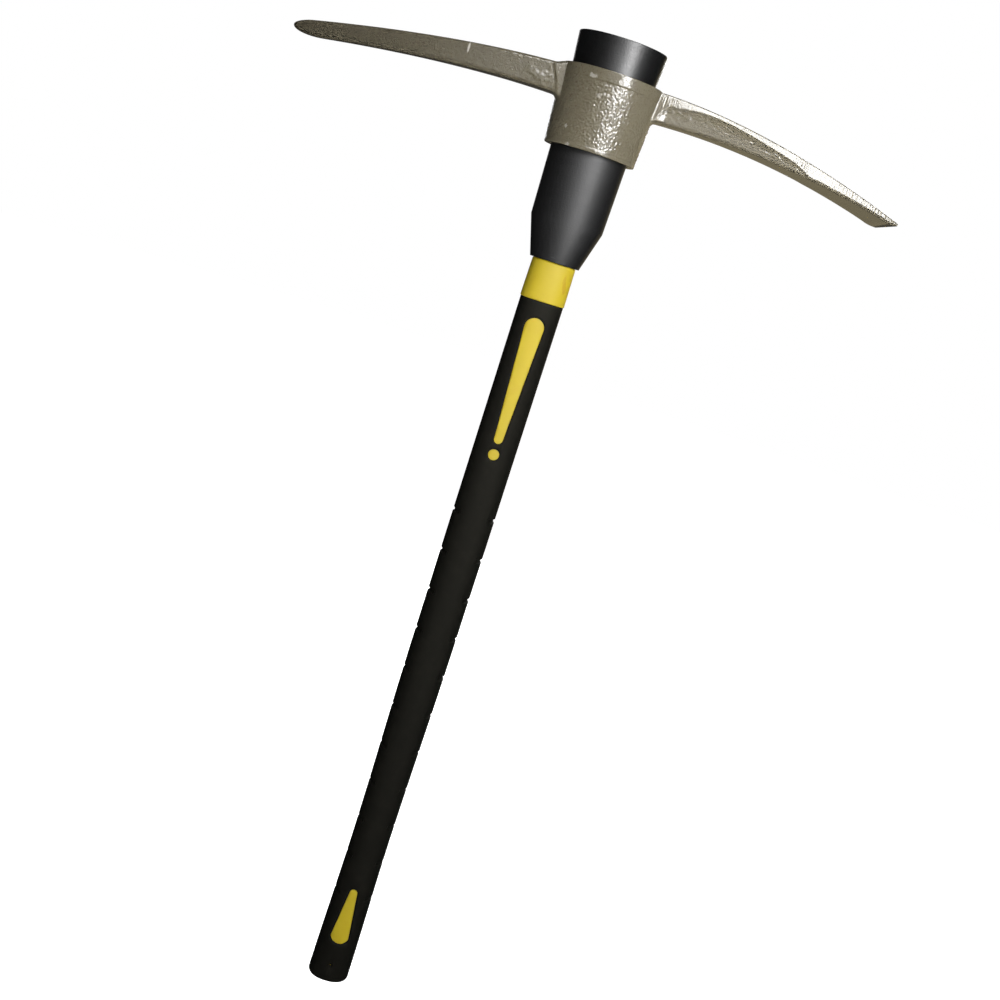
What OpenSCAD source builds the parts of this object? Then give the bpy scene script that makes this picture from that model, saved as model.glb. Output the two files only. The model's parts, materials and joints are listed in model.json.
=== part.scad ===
// Pick mattock: a forged steel head with a pick arm and an adze arm, slipped over a
// fibreglass handle from the butt end and jammed on the flared sleeve at the top.
// The handle stands along +Z with its butt on the origin. The adze points to +X, the
// pick to -X. Widths lie along X, in the plane of the head, and depths along Y.

/* [Grip] */
// Length of the rubber grip, from the butt up to the bare ring of the jacket
grip_len = 688.5; // [600:0.5:760]
// Grip width at the butt
butt_w = 39.6; // [37:0.1:43]
// Grip width at the waist, where the lower hand closes
waist_w = 36.4; // [34:0.1:40]
// Height of the waist
waist_z = 155; // [120:1:200]
// Grip width at the belly, between the two hands
belly_w = 39.6; // [36:0.1:43]
// Height of the belly
belly_z = 360; // [300:1:420]
// Grip width at the top
neck_w = 39.2; // [36:0.1:43]
// Thickness of the rubber
grip_wall = 2.6; // [1.8:0.1:3]
// Thickness of the rubber across the butt
grip_end = 4; // [3:0.5:8]
// Rounding of the butt's edge
butt_r = 5; // [2:0.5:8]

/* [Grip notches] */
// Notches along each side of the grip
notch_count = 11; // [5:1:12]
// Distance from notch to notch
notch_pitch = 39.33; // [25:0.01:42]
// Height of the lowest notch
notch_z = 94; // [60:1:120]
// Height of one notch
notch_h = 4.4; // [2:0.1:8]
// Depth of a notch at the side of the grip
notch_deep = 1; // [0.4:0.1:1.5]
// How far a notch runs in from the side over the front and the back
notch_reach = 6.5; // [3:0.5:10]

/* [Inlays] */
// Bare rubber between the long inlay and the top of the grip
long_space = 14.5; // [8:0.5:40]
// Length of the long inlay
long_len = 116.5; // [80:0.5:118]
// Width of the long inlay at its lower end
long_w_low = 8.6; // [6:0.1:12]
// Width of the long inlay at its upper end
long_w_high = 18.2; // [12:0.1:20]
// Diameter of the dot inlay
dot_d = 10.6; // [6:0.1:14]
// Bare rubber between the dot and the long inlay
dot_space = 4.8; // [3:0.1:12]
// Height of the lower end of the butt inlay
foot_z = 46; // [36:0.5:60]
// Length of the butt inlay
foot_len = 57; // [40:0.5:80]
// Width of the butt inlay at its lower end
foot_w_low = 18.2; // [12:0.1:20]
// Width of the butt inlay at its upper end
foot_w_high = 8.2; // [5:0.1:12]
// How far the butt inlay's lower end bows out between its corners
foot_bow = 4; // [1:0.1:6]
// Groove between an inlay and the rubber round it
inlay_groove = 0.5; // [0.2:0.05:1]
// Height of an inlay's face over the rubber
inlay_proud = 0.2; // [0:0.05:0.6]
// Diameter of the locating pin's hole near the butt
pin_hole_d = 4; // [2:0.1:6]
// Height of that hole
pin_hole_z = 19; // [15:0.5:30]

/* [Core and jacket] */
// Diameter of the fibreglass rod
core_d = 19; // [14:0.5:22]
// Thinnest wall of the jacket, at the front and the back of the waist
jacket_wall = 1.5; // [1:0.1:2.5]
// Thickness of the jacket under the end of the rod
jacket_end = 3; // [2:0.5:6]
// Length of the jacket's bare ring
ring_len = 35; // [15:0.5:60]
// Width of the ring where it meets the grip
ring_w_low = 40.4; // [37:0.1:44]
// Width of the ring where it meets the sleeve
ring_w_high = 39.2; // [37:0.1:43]
// Thickness of the sleeve over the top end of the rod
core_cover = 10; // [6:0.5:20]
// Gap on each side between pieces that are bonded or moulded together
bond_gap = 0.05; // [0.02:0.01:0.2]

/* [Sleeve] */
// Width and depth of the sleeve's lower end
collar_low = [45, 38]; // [41:0.5:60]
// Height of the tapered lower end
shoulder_h = 35; // [20:0.5:60]
// Height from the shoulder to the eye
collar_h = 60.5; // [30:0.5:100]
// Width and depth where the sleeve leaves the eye
seat_high = [74, 52]; // [50:0.5:80]
// How much the sleeve narrows in width and depth down through the eye
seat_taper = [6, 5]; // [2:0.5:10]
// How much it narrows further down to the shoulder
shoulder_taper = [3, 2]; // [0.5:0.5:8]
// Height of the flared crown over the eye
crown_h = 28.5; // [15:0.5:50]
// How much the crown flares in width and depth
crown_flare = [4.8, 5]; // [2:0.1:12]
// Rounding of the crown's edge
crown_r = 1.6; // [0.5:0.1:4]

/* [Eye of the head] */
// Height of the eye
eye_h = 66.5; // [50:0.5:90]
// Wall at the ends of the eye, at the top and at the bottom
eye_wall_end = [7, 5.8]; // [4:0.1:10]
// Wall at the front and the back of the eye
eye_wall_side = 7.5; // [5:0.1:12]
// Height of the raised rim round the top of the eye
rim_h = 9; // [5:0.5:14]
// How far the rim stands out
rim_step = 0.9; // [0.3:0.1:2]
// Height of the lip round the bottom of the eye
lip_h = 3; // [2:0.5:6]
// How far the lip stands out
lip_step = 0.6; // [0.2:0.1:1.5]
// Gap on each side between the eye and the sleeve
eye_gap = 0.3; // [0.2:0.05:0.6]

/* [Arms of the head] */
// Height of both arms at the eye
arm_h = 24.2; // [18:0.1:32]
// Thickness of both arms at the eye
arm_w = 24; // [18:0.5:34]
// Radius of the fillet where an arm meets the eye
arm_fillet = 5; // [2:0.5:8]
// Reach of the pick's point from the handle's axis
pick_reach = 271; // [200:1:320]
// How far the pick's back lies below the rim of the eye
pick_drop = 3; // [0:0.1:10]
// How far the pick's point hangs below the line of the eye
pick_droop = 26.5; // [10:0.5:40]
// Height of the pick near its point
pick_tip_h = 12.8; // [8:0.1:20]
// Thickness of the pick near its point
pick_tip_w = 9; // [6:0.1:16]
// Length of the rounded point
pick_nose = 16; // [5:0.5:30]
// Reach of the adze's cutting edge from the handle's axis
adze_reach = 265; // [200:1:320]
// How far the cutting edge hangs below the top of the eye
adze_droop = 44; // [20:0.5:60]
// Width of the cutting edge
adze_w = 64; // [40:1:110]
// Thickness of the blade behind its bevel
adze_t = 5.5; // [4:0.1:12]
// Length of the ground bevel under the cutting edge
bevel_len = 14; // [8:0.5:40]
// Thickness of the cutting edge itself
edge_t = 2.2; // [0.4:0.1:4]
// Thickness of the flange over the scooped sides of the adze arm
flange_t = 5; // [3:0.1:8]
// Depth of the scoop in each side of the adze arm
scoop_deep = 4; // [1:0.1:6]
// Length of the scoop along the arm
scoop_len = 136; // [60:1:140]

/* [Hidden] */
// Sides of the handle's ovals, the eye's ovals and the pick's section
handle_sides = 40;
eye_sides = 56;
pick_sides = 20;
// Roundness of the grip's oval and of the pick's section: 2 is an ellipse, more is boxier
grip_round = 2.2;
pick_round = 3.6;
// Length of the grip's facets, and steps along an arm, a rounded edge and a fillet
grip_step = 20;
arm_steps = 20;
round_steps = 4;
fillet_steps = 6;
// How the arms bend, thin and flare along their reach: 1 is straight, more comes later
pick_bend = 1.7;
adze_bend = 1.85;
adze_thinning = 1.15;
adze_flare = 1.5;
// How much of its height the pick's nose loses at the point, squared, and how much more of
// that it loses below than above
nose_cut = 0.97;
nose_lift = 0.1;
// Shares of the scoop's length over which it sinks in and runs out
scoop_start = 0.25;
scoop_end = 0.4;
// Share of the adze arm's height that its flange takes up where the scoop runs out
flange_share = 0.8;
// Small flats on the adze's corners, and the least number of them in the blade's thickness
adze_corner = 1;
corners_in_blade = 6;
// A cutter's overrun past the face that it opens
over = 1;

ring_z = grip_len;
collar_z = ring_z + ring_len;
long_z = grip_len - long_space - long_len;
shoulder_z = collar_z + shoulder_h;
eye_z = shoulder_z + collar_h;
eye_top = eye_z + eye_h;
crown_z = eye_top + crown_h;
core_z = grip_end + bond_gap + jacket_end + bond_gap;
core_top = crown_z - core_cover;
jacket_inset = grip_wall + bond_gap;
waist_depth = core_d + 2 * (bond_gap + jacket_wall + jacket_inset);
// How much less deep than wide the grip and the jacket are all the way along
handle_flat = waist_w - waist_depth;
seat_low = seat_high - seat_taper;
shoulder = seat_low - shoulder_taper;
crown = seat_high + crown_flare;

steel = "#8c8373";
black = "#1b1b1d";
rubber = "#141415";
yellow = "#d8c03a";
glass = "#d9cfa6";

function mix(a, b, t) = a + (b - a) * t;
function clamp(t) = min(1, max(0, t));
function ease(t) = (1 - cos(180 * clamp(t))) / 2;
function power(v, p) = sign(v) * pow(abs(v), p);

// An oval ring at height z: e is 2 for an ellipse and more for a boxier oval
function oval(size, z, sides, e = 2) = [
    for (i = [0:sides - 1])
        let (a = 360 * i / sides)
        [size[0] / 2 * power(cos(a), 2 / e), size[1] / 2 * power(sin(a), 2 / e), z]
];

// A closed skin over rings that all have the same number of points
module loft(rings) {
    n = len(rings[0]);
    last = len(rings) - 1;
    sides = [
        for (i = [0:last - 1], j = [0:n - 1])
            let (k = (j + 1) % n)
            each [
                [i * n + j, (i + 1) * n + j, (i + 1) * n + k],
                [i * n + j, (i + 1) * n + k, i * n + k]
            ]
    ];
    low_cap = [for (j = [0:n - 1]) j];
    high_cap = [for (j = [n - 1:-1:0]) last * n + j];
    polyhedron(points = [for (r = rings) each r], faces = concat(sides, [low_cap, high_cap]));
}

// The grip's width along its length, from the butt over the waist and the belly to the top
function grip_w(z) =
    z < waist_z ? mix(butt_w, waist_w, ease(z / waist_z))
    : z < belly_z ? mix(waist_w, belly_w, ease((z - waist_z) / (belly_z - waist_z)))
    : mix(belly_w, neck_w, ease((z - belly_z) / (grip_len - belly_z)));

// Width and depth of the grip, drawn in by an inset
function grip_size(z, inset = 0) =
    [grip_w(z) - 2 * inset, grip_w(z) - handle_flat - 2 * inset];

function grip_ring(z, inset = 0) =
    oval(grip_size(z, inset), z, handle_sides, grip_round);

function grip_rings(z0, z1, inset) =
    let (steps = ceil((z1 - z0) / grip_step))
    [for (i = [0:steps]) grip_ring(mix(z0, z1, i / steps), inset)];

// A grip ring pressed in at both sides, as deep as a notch is at that height
function notched_ring(z, press) = [
    for (p = grip_ring(z))
        let (
            size = grip_size(z),
            side = clamp((abs(p[0]) - size[0] / 2 + notch_reach) / notch_reach * 2),
            across = [p[0] / pow(size[0], 2), p[1] / pow(size[1], 2), 0],
            inward = across / norm(across) * press * notch_deep * ease(side)
        )
        p - inward
];

function notch_rings(z) = [
    for (i = [-2:2]) notched_ring(z + i * notch_h / 4, 1 - abs(i) / 2)
];

// The rounded butt, as rings that step out to the grip's own width
function butt_rings() = [
    for (i = [0:round_steps])
        let (a = 90 * i / round_steps)
        oval(grip_size(0, butt_r * (1 - sin(a))), butt_r * (1 - cos(a)), handle_sides, grip_round)
];

module grip_skin() {
    notch_top = notch_z + (notch_count - 1) * notch_pitch + notch_h;
    loft(concat(
        butt_rings(),
        [for (i = [0:notch_count - 1]) each notch_rings(notch_z + i * notch_pitch)],
        grip_rings(notch_top, grip_len, 0)
    ));
}

// The outlines of the inlays, in X and Z, each widened all round by grow
module taper_outline(z0, r0, z1, r1, grow) {
    lean = asin((r1 - r0) / (z1 - z0));
    low = (r0 + grow) * [cos(lean), -sin(lean)] + [0, z0];
    high = (r1 + grow) * [cos(lean), -sin(lean)] + [0, z1];
    translate([0, z0]) circle(r0 + grow);
    translate([0, z1]) circle(r1 + grow);
    polygon([low, high, [-high[0], high[1]], [-low[0], low[1]]]);
}

module long_outline(grow) {
    r0 = long_w_low / 2;
    r1 = long_w_high / 2;
    taper_outline(long_z + r0, r0, long_z + long_len - r1, r1, grow);
}

module dot_outline(grow) {
    translate([0, long_z - dot_space - dot_d / 2]) circle(dot_d / 2 + grow);
}

module foot_outline(grow) {
    half = foot_w_low / 2;
    r1 = foot_w_high / 2;
    z1 = foot_z + foot_len - r1;
    corner_z = foot_z + foot_bow;
    bow_r = (half * half + foot_bow * foot_bow) / (2 * foot_bow);
    lean = asin((r1 - half) / (z1 - corner_z));
    low = (half + grow) * [1, 0] + [0, corner_z - grow / 2];
    high = (r1 + grow) * [cos(lean), -sin(lean)] + [0, z1];
    translate([0, z1]) circle(r1 + grow);
    polygon([low, high, [-high[0], high[1]], [-low[0], low[1]]]);
    intersection() {
        translate([0, foot_z + bow_r]) circle(bow_r + grow);
        translate([-low[0], foot_z - bow_r]) square([2 * low[0], low[1] - foot_z + bow_r]);
    }
}

// Stands an outline up and pulls it from the middle plane out through the front
module through_front() {
    rotate([90, 0, 0]) linear_extrude(belly_w) children();
}

// The windows that an inlay's groove leaves open in the front of the grip
module front_windows() {
    through_front() long_outline(inlay_groove);
    through_front() dot_outline(inlay_groove);
    through_front() foot_outline(inlay_groove);
    through_front() translate([0, pin_hole_z]) circle(pin_hole_d / 2);
}

// One inlay: its outline between the jacket and a face a little proud of the rubber
module inlay(z0, z1) {
    color(yellow) difference() {
        intersection() {
            through_front() children();
            loft(grip_rings(z0 - over, z1 + over, -inlay_proud));
        }
        loft(grip_rings(z0 - 2 * over, z1 + 2 * over, jacket_inset - 2 * bond_gap));
    }
}

module rear() {
    mirror([0, 1, 0]) children();
}

module long_inlay_front() {
    inlay(long_z, long_z + long_len) long_outline(0);
}

module dot_inlay_front() {
    top = long_z - dot_space;
    inlay(top - dot_d, top) dot_outline(0);
}

module butt_inlay_front() {
    inlay(foot_z, foot_z + foot_len) foot_outline(0);
}

module rubber_grip() {
    color(rubber) difference() {
        grip_skin();
        loft(grip_rings(grip_end, grip_len + over, jacket_inset - bond_gap));
        front_windows();
        rear() {
            through_front() long_outline(inlay_groove);
            through_front() dot_outline(inlay_groove);
            through_front() foot_outline(inlay_groove);
        }
    }
}

function ring_size(w) = [w, w - handle_flat];

module handle_jacket() {
    color(yellow) difference() {
        loft(concat(
            grip_rings(grip_end + bond_gap, ring_z, jacket_inset),
            [
                oval(ring_size(ring_w_low), ring_z, handle_sides, grip_round),
                oval(ring_size(ring_w_high), collar_z, handle_sides, grip_round)
            ]
        ));
        translate([0, 0, core_z - bond_gap])
            cylinder(d = core_d + 2 * bond_gap, h = collar_z, $fn = 96);
    }
}

module fibreglass_core() {
    color(glass) translate([0, 0, core_z])
        cylinder(d = core_d, h = core_top - core_z, $fn = 96);
}

// The sleeve's crown, rounded in towards its flat top
function crown_rings() = [
    for (i = [0:round_steps])
        let (a = 90 * i / round_steps, inset = 2 * crown_r * (1 - cos(a)))
        oval(crown - [inset, inset], crown_z - crown_r * (1 - sin(a)), eye_sides)
];

module eye_sleeve() {
    color(black) difference() {
        loft(concat(
            [
                oval(collar_low, collar_z, eye_sides),
                oval(shoulder, shoulder_z, eye_sides),
                oval(seat_low, eye_z, eye_sides),
                oval(seat_high, eye_top, eye_sides)
            ],
            crown_rings()
        ));
        translate([0, 0, collar_z - over])
            cylinder(d = core_d + 2 * bond_gap, h = core_top + bond_gap - collar_z + over, $fn = 96);
    }
}

// Width and depth of the eye's hole at height z: the sleeve's taper with the gap round it
function hole_size(z) =
    mix(seat_low, seat_high, (z - eye_z) / eye_h) + 2 * eye_gap * [1, 1];

// Width and depth of the eye's outside at height z
function eye_size(z) =
    hole_size(z) + 2 * [mix(eye_wall_end[1], eye_wall_end[0], (z - eye_z) / eye_h), eye_wall_side];

function eye_ring(z, proud) = oval(eye_size(z) + 2 * proud * [1, 1], z, eye_sides);

module eye_body() {
    rim_z = eye_top - rim_h;
    loft([
        eye_ring(eye_z, 0),
        eye_ring(eye_z + lip_step, lip_step),
        eye_ring(eye_z + lip_h, lip_step),
        eye_ring(eye_z + lip_h + lip_step, 0),
        eye_ring(mix(eye_z, eye_top, 0.5), 0),
        eye_ring(rim_z - rim_step, 0),
        eye_ring(rim_z, rim_step),
        eye_ring(eye_top - rim_step, rim_step),
        eye_ring(eye_top, 0)
    ]);
}

module eye_hole() {
    loft([
        oval(hole_size(eye_z - over), eye_z - over, eye_sides),
        oval(hole_size(eye_top + over), eye_top + over, eye_sides)
    ]);
}

// Where the arms leave the end of the eye, and where their fillets start inside its wall
arm_x = eye_size(eye_top)[0] / 2;
root = eye_size(eye_top - arm_h - arm_fillet) / 2;
root_x = root[0] * sqrt(1 - pow((arm_w / 2 + arm_fillet) / root[1], 2)) - over;

// How much of a fillet is left at a share of its own length, and what it adds to an arm
function fillet(t) = 1 - sqrt(1 - pow(1 - clamp(t), 2));
function side_fillet(x) = arm_fillet * fillet((x - root_x) / (arm_x + arm_fillet - root_x));
function under_fillet(x) = arm_fillet * fillet((x - root[0]) / arm_fillet);
function back_fillet(x) = max(0, pick_drop - rim_step) * fillet((x - arm_x) / arm_fillet);

// Stations along an arm: one deep in the eye, a few in the fillet, even steps, then the end
function arm_stations(reach, tail) = concat(
    [root_x / 2],
    [for (i = [0:fillet_steps]) mix(root_x, arm_x + arm_fillet, i / fillet_steps)],
    [for (i = [1:arm_steps]) mix(arm_x + arm_fillet, reach - tail, i / arm_steps)],
    [for (i = [1:round_steps]) reach - tail * (1 - i / round_steps)]
);

// The pick: a rounded bar that tapers and bends down to a blunt nose
function pick_ring(x) =
    let (
        u = clamp((x - arm_x) / (pick_reach - arm_x)),
        nose = sqrt(1 - nose_cut * pow(1 - clamp((pick_reach - x) / pick_nose), 2)),
        bar = mix(arm_h, pick_tip_h, u),
        over_it = back_fillet(x),
        under_it = under_fillet(x),
        w = nose * mix(arm_w, pick_tip_w, u) + 2 * side_fillet(x),
        h = nose * bar + over_it + under_it,
        line = eye_top - pick_drop - arm_h / 2 - pick_droop * pow(u, pick_bend),
        middle = line + (over_it - under_it) / 2 + nose_lift * bar * (1 - nose)
    )
    [for (p = oval([w, h], middle, pick_sides, pick_round)) [x, p[0], p[1] + p[2]]];

module pick_arm() {
    mirror([1, 0, 0])
        loft([for (x = arm_stations(pick_reach, pick_nose)) pick_ring(x)]);
}

// The adze: a bar that thins and flares to a wide blade, with a scoop in each side under
// the flange that carries the blade's edge
function adze_ring(x) =
    let (
        u = clamp((x - arm_x) / (adze_reach - arm_x)),
        v = clamp((x - arm_x) / (adze_reach - bevel_len - arm_x)),
        s = clamp((x - arm_x - arm_fillet) / scoop_len),
        top = eye_top - adze_droop * pow(u, adze_bend),
        bar = mix(arm_h, adze_t, pow(v, adze_thinning)) + under_fillet(x),
        deep = mix(edge_t, bar, clamp((adze_reach - x) / bevel_len)),
        half = mix(arm_w, adze_w, pow(u, adze_flare)) / 2 + side_fillet(x),
        scoop = scoop_deep * ease(s / scoop_start) * ease((1 - s) / scoop_end),
        flange = mix(min(flange_t, deep / 2), deep * flange_share, ease(2 * s - 1)),
        corner = min(adze_corner, deep / corners_in_blade),
        cove = [
            for (i = [0:round_steps])
                let (a = 90 * i / round_steps)
                [half - scoop * sin(a), -mix(deep - corner, flange, cos(a))]
        ],
        side = concat(
            [[half - corner, 0], [half, -corner], [half, corner - flange]],
            cove,
            [[half - scoop - corner, -deep]]
        ),
        n = len(side)
    )
    concat(
        [for (i = [n - 1:-1:0]) [x, side[i][0], top + side[i][1]]],
        [for (p = side) [x, -p[0], top + p[1]]]
    );

module adze_arm() {
    loft([for (x = arm_stations(adze_reach, bevel_len)) adze_ring(x)]);
}

module mattock_head() {
    color(steel) difference() {
        union() {
            eye_body();
            pick_arm();
            adze_arm();
        }
        eye_hole();
    }
}

mattock_head();
eye_sleeve();
fibreglass_core();
handle_jacket();
rubber_grip();
long_inlay_front();
rear() long_inlay_front();  // long_inlay_rear
dot_inlay_front();
rear() dot_inlay_front();  // dot_inlay_rear
butt_inlay_front();
rear() butt_inlay_front();  // butt_inlay_rear
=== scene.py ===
"""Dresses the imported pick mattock: a lacquered forged head, a moulded sleeve, a yellow jacket with its
inlays and a rubber grip. Each group of pieces is one operator, and the sidebar panel lists them."""

import json
import math

import bmesh
import bpy
from bpy.props import FloatProperty, FloatVectorProperty, IntProperty, PointerProperty
from mathutils import Matrix, Vector, noise


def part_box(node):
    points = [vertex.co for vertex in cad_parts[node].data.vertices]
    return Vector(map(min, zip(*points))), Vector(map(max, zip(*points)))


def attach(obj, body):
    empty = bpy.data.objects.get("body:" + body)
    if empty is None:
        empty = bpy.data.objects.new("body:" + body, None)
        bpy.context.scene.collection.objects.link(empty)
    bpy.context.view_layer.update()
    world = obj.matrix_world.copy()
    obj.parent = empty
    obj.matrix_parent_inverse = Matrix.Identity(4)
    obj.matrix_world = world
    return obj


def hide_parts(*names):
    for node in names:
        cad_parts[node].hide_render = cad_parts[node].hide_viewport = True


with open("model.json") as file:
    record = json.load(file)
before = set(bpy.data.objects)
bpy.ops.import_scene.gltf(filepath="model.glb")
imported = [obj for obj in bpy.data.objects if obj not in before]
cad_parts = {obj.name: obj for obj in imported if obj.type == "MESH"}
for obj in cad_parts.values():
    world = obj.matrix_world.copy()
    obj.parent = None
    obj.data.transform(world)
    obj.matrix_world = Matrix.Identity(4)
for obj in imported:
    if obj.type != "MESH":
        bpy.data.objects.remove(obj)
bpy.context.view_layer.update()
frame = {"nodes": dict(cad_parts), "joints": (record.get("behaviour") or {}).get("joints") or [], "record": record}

bl_info = {
    "name": "Pick mattock",
    "version": (1, 0, 0),
    "blender": (4, 5, 0),
    "location": "View3D > Sidebar > Mattock",
    "description": "Builds the pieces and finishes of a pick mattock with a fibreglass handle",
    "category": "Object",
}

MM = 0.001
HEAD_LOW, HEAD_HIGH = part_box("mattock_head")
SLEEVE_LOW, SLEEVE_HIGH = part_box("eye_sleeve")
JACKET_LOW, JACKET_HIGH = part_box("handle_jacket")
GRIP_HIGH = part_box("rubber_grip")[1]
CORE_LOW, CORE_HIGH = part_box("fibreglass_core")
EYE_TOP = HEAD_HIGH.z
EYE_BOTTOM = next(m["pos_m"][2] for m in frame["record"]["mounts"] if m["name"] == "eye_underside")
# Points round the eye and round the handle's pieces, and across the panel of the adze
EYE_POINTS, HANDLE_POINTS, PANEL_POINTS = 420, 144, 26
# Distance between the sections along the handle
HANDLE_STEP = 20 * MM
# How boxy the oval of the grip is, where 2 is an ellipse
GRIP_ROUNDNESS = 2.2
# Exponents of the curves along the arms, where more starts later
PICK_BEND, ADZE_BEND, BLADE_TAPER, BLADE_FLARE, PANEL_CLOSING = 1.7, 1.85, 1.15, 1.5, 1.6
# Height over the lip in which the hammered wall of the eye sets in
WALL_START = 4 * MM
# How much wider apart the bumps on the arms are than those on the eye
ARM_SPACING = 1.5
# How much of the lacquer's relief each part of the head has
RELIEF = {"rim": 0.35, "wall": 0.22, "pick_root": 0.4, "pick": 0.28, "flange": 0.15, "panel": 0.2,
          "edges": 0.1}
# Sockets of a Mix node that mixes colours
MIX_FACTOR, MIX_A, MIX_B, MIX_RESULT = 0, 6, 7, 2


# Properties: the sizes and colours that a user would change

def linear(code):
    """Linear red, green, blue and alpha of an sRGB hex colour."""
    shares = [int(code[i:i + 2], 16) / 255 for i in (1, 3, 5)]
    return tuple(s / 12.92 if s <= 0.04045 else ((s + 0.055) / 1.055) ** 2.4 for s in shares) + (1.0,)


def length(name, description, millimetres):
    """A length property, kept in metres."""
    return FloatProperty(name=name, description=description, default=millimetres * MM, unit="LENGTH")


def width_and_depth(name, description, width, depth):
    """A pair of lengths across the handle, kept in metres."""
    return FloatVectorProperty(
        name=name, description=description, size=2, default=(width * MM, depth * MM), unit="LENGTH")


def colour(name, description, code):
    """A colour property, given as an sRGB hex code."""
    return FloatVectorProperty(
        name=name, description=description, size=4, default=linear(code), min=0, max=1, subtype="COLOR")


def degrees(name, description, angle):
    """An angle property, given in degrees."""
    return FloatProperty(name=name, description=description, default=math.radians(angle), subtype="ANGLE")


class HeadSizes(bpy.types.PropertyGroup):
    """Sizes of the forged head"""
    wall_end_top: length("Wall at the ends, top", "Wall at the ends of the eye, at the top", 7)
    wall_end_bottom: length("Wall at the ends, bottom", "Wall at the ends of the eye, at the bottom", 5.8)
    wall_side: length("Wall at the sides", "Wall at the front and the back of the eye", 7.5)
    gap: length("Gap", "Gap between the eye and the sleeve", 0.3)
    rim_height: length("Rim height", "Height of the raised rim round the top of the eye", 9)
    rim_step: length("Rim step", "How far the rim stands out", 0.9)
    lip_height: length("Lip height", "Height of the lip round the bottom of the eye", 3)
    lip_step: length("Lip step", "How far the lip stands out", 0.2)
    edge: length("Edge", "Rounding of the eye's edges", 0.6)
    hammer_size: length("Hammer marks", "Distance between the bumps of the hammered wall", 1.35)
    hammer_depth: length("Hammer depth", "Height of those bumps", 0.42)
    arm_height: length("Arm height", "Height of both arms at the eye", 24.2)
    arm_width: length("Arm thickness", "Thickness of both arms at the eye", 24)
    root_fillet: length("Root fillet", "Radius of the fillet under an arm, at the eye", 5)
    side_fillet: length("Side fillet", "Radius of the fillet between the eye and the side of the adze", 1.3)
    collar: length("Collar", "How far the collar at the root of the pick stands out", 1.3)
    collar_high: length("Collar, top", "Width of that collar at the pick's back", 7.5)
    collar_low: length("Collar, bottom", "Width of that collar at the pick's underside", 2)
    pick_drop: length("Pick drop", "How far the pick's back lies below the rim", 3)
    pick_droop: length("Pick droop", "How far the pick's point hangs below the line of the eye", 26.5)
    pick_tip_height: length("Pick tip height", "Height of the pick near its point", 12.8)
    pick_tip_width: length("Pick tip thickness", "Thickness of the pick near its point", 9)
    nose_top: length("Nose, top", "Length of the point's rounding at the pick's back", 15)
    nose_under: length("Nose, underside", "Length of the point's rounding at the pick's underside", 27)
    dish: length("Dish", "Depth of the shallow dish at the root of the pick", 0.45)
    adze_sink: length("Adze sink", "How far the adze's back lies below the top of the rim", 0.5)
    adze_droop: length("Adze droop", "How far the cutting edge hangs below the adze's back", 43.5)
    adze_width: length("Adze width", "Width of the cutting edge", 64)
    blade: length("Blade", "Thickness of the blade behind its bevel", 5.5)
    bevel: length("Bevel", "Length of the ground bevel under the cutting edge", 14)
    cutting_edge: length("Cutting edge", "Thickness of the cutting edge itself", 2.2)
    flange_root: length("Flange at the eye", "Height of the flange's face at the eye", 9.8)
    flange: length("Flange", "Height of the flange's face along the scooped panel", 3.8)
    flange_end: length("Flange at the end", "Height of the flange's face where the panel ends", 8)
    flange_draft: degrees("Flange draft", "How far the flange's face leans back", 11)
    scoop: length("Scoop", "Depth of the scooped panel in the side of the adze arm", 1.2)
    scoop_length: length("Scoop length", "Length of the scooped panel", 145)
    under_edge: length("Lower edge", "Rounding of the adze's lower edge", 2.2)
    forging_depth: length("Forging marks", "Height of the thin ridges in the scooped panel", 0.2)
    pattern: IntProperty(name="Pattern", description="Seed of the hammer marks' pattern", default=1, min=1)


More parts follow.
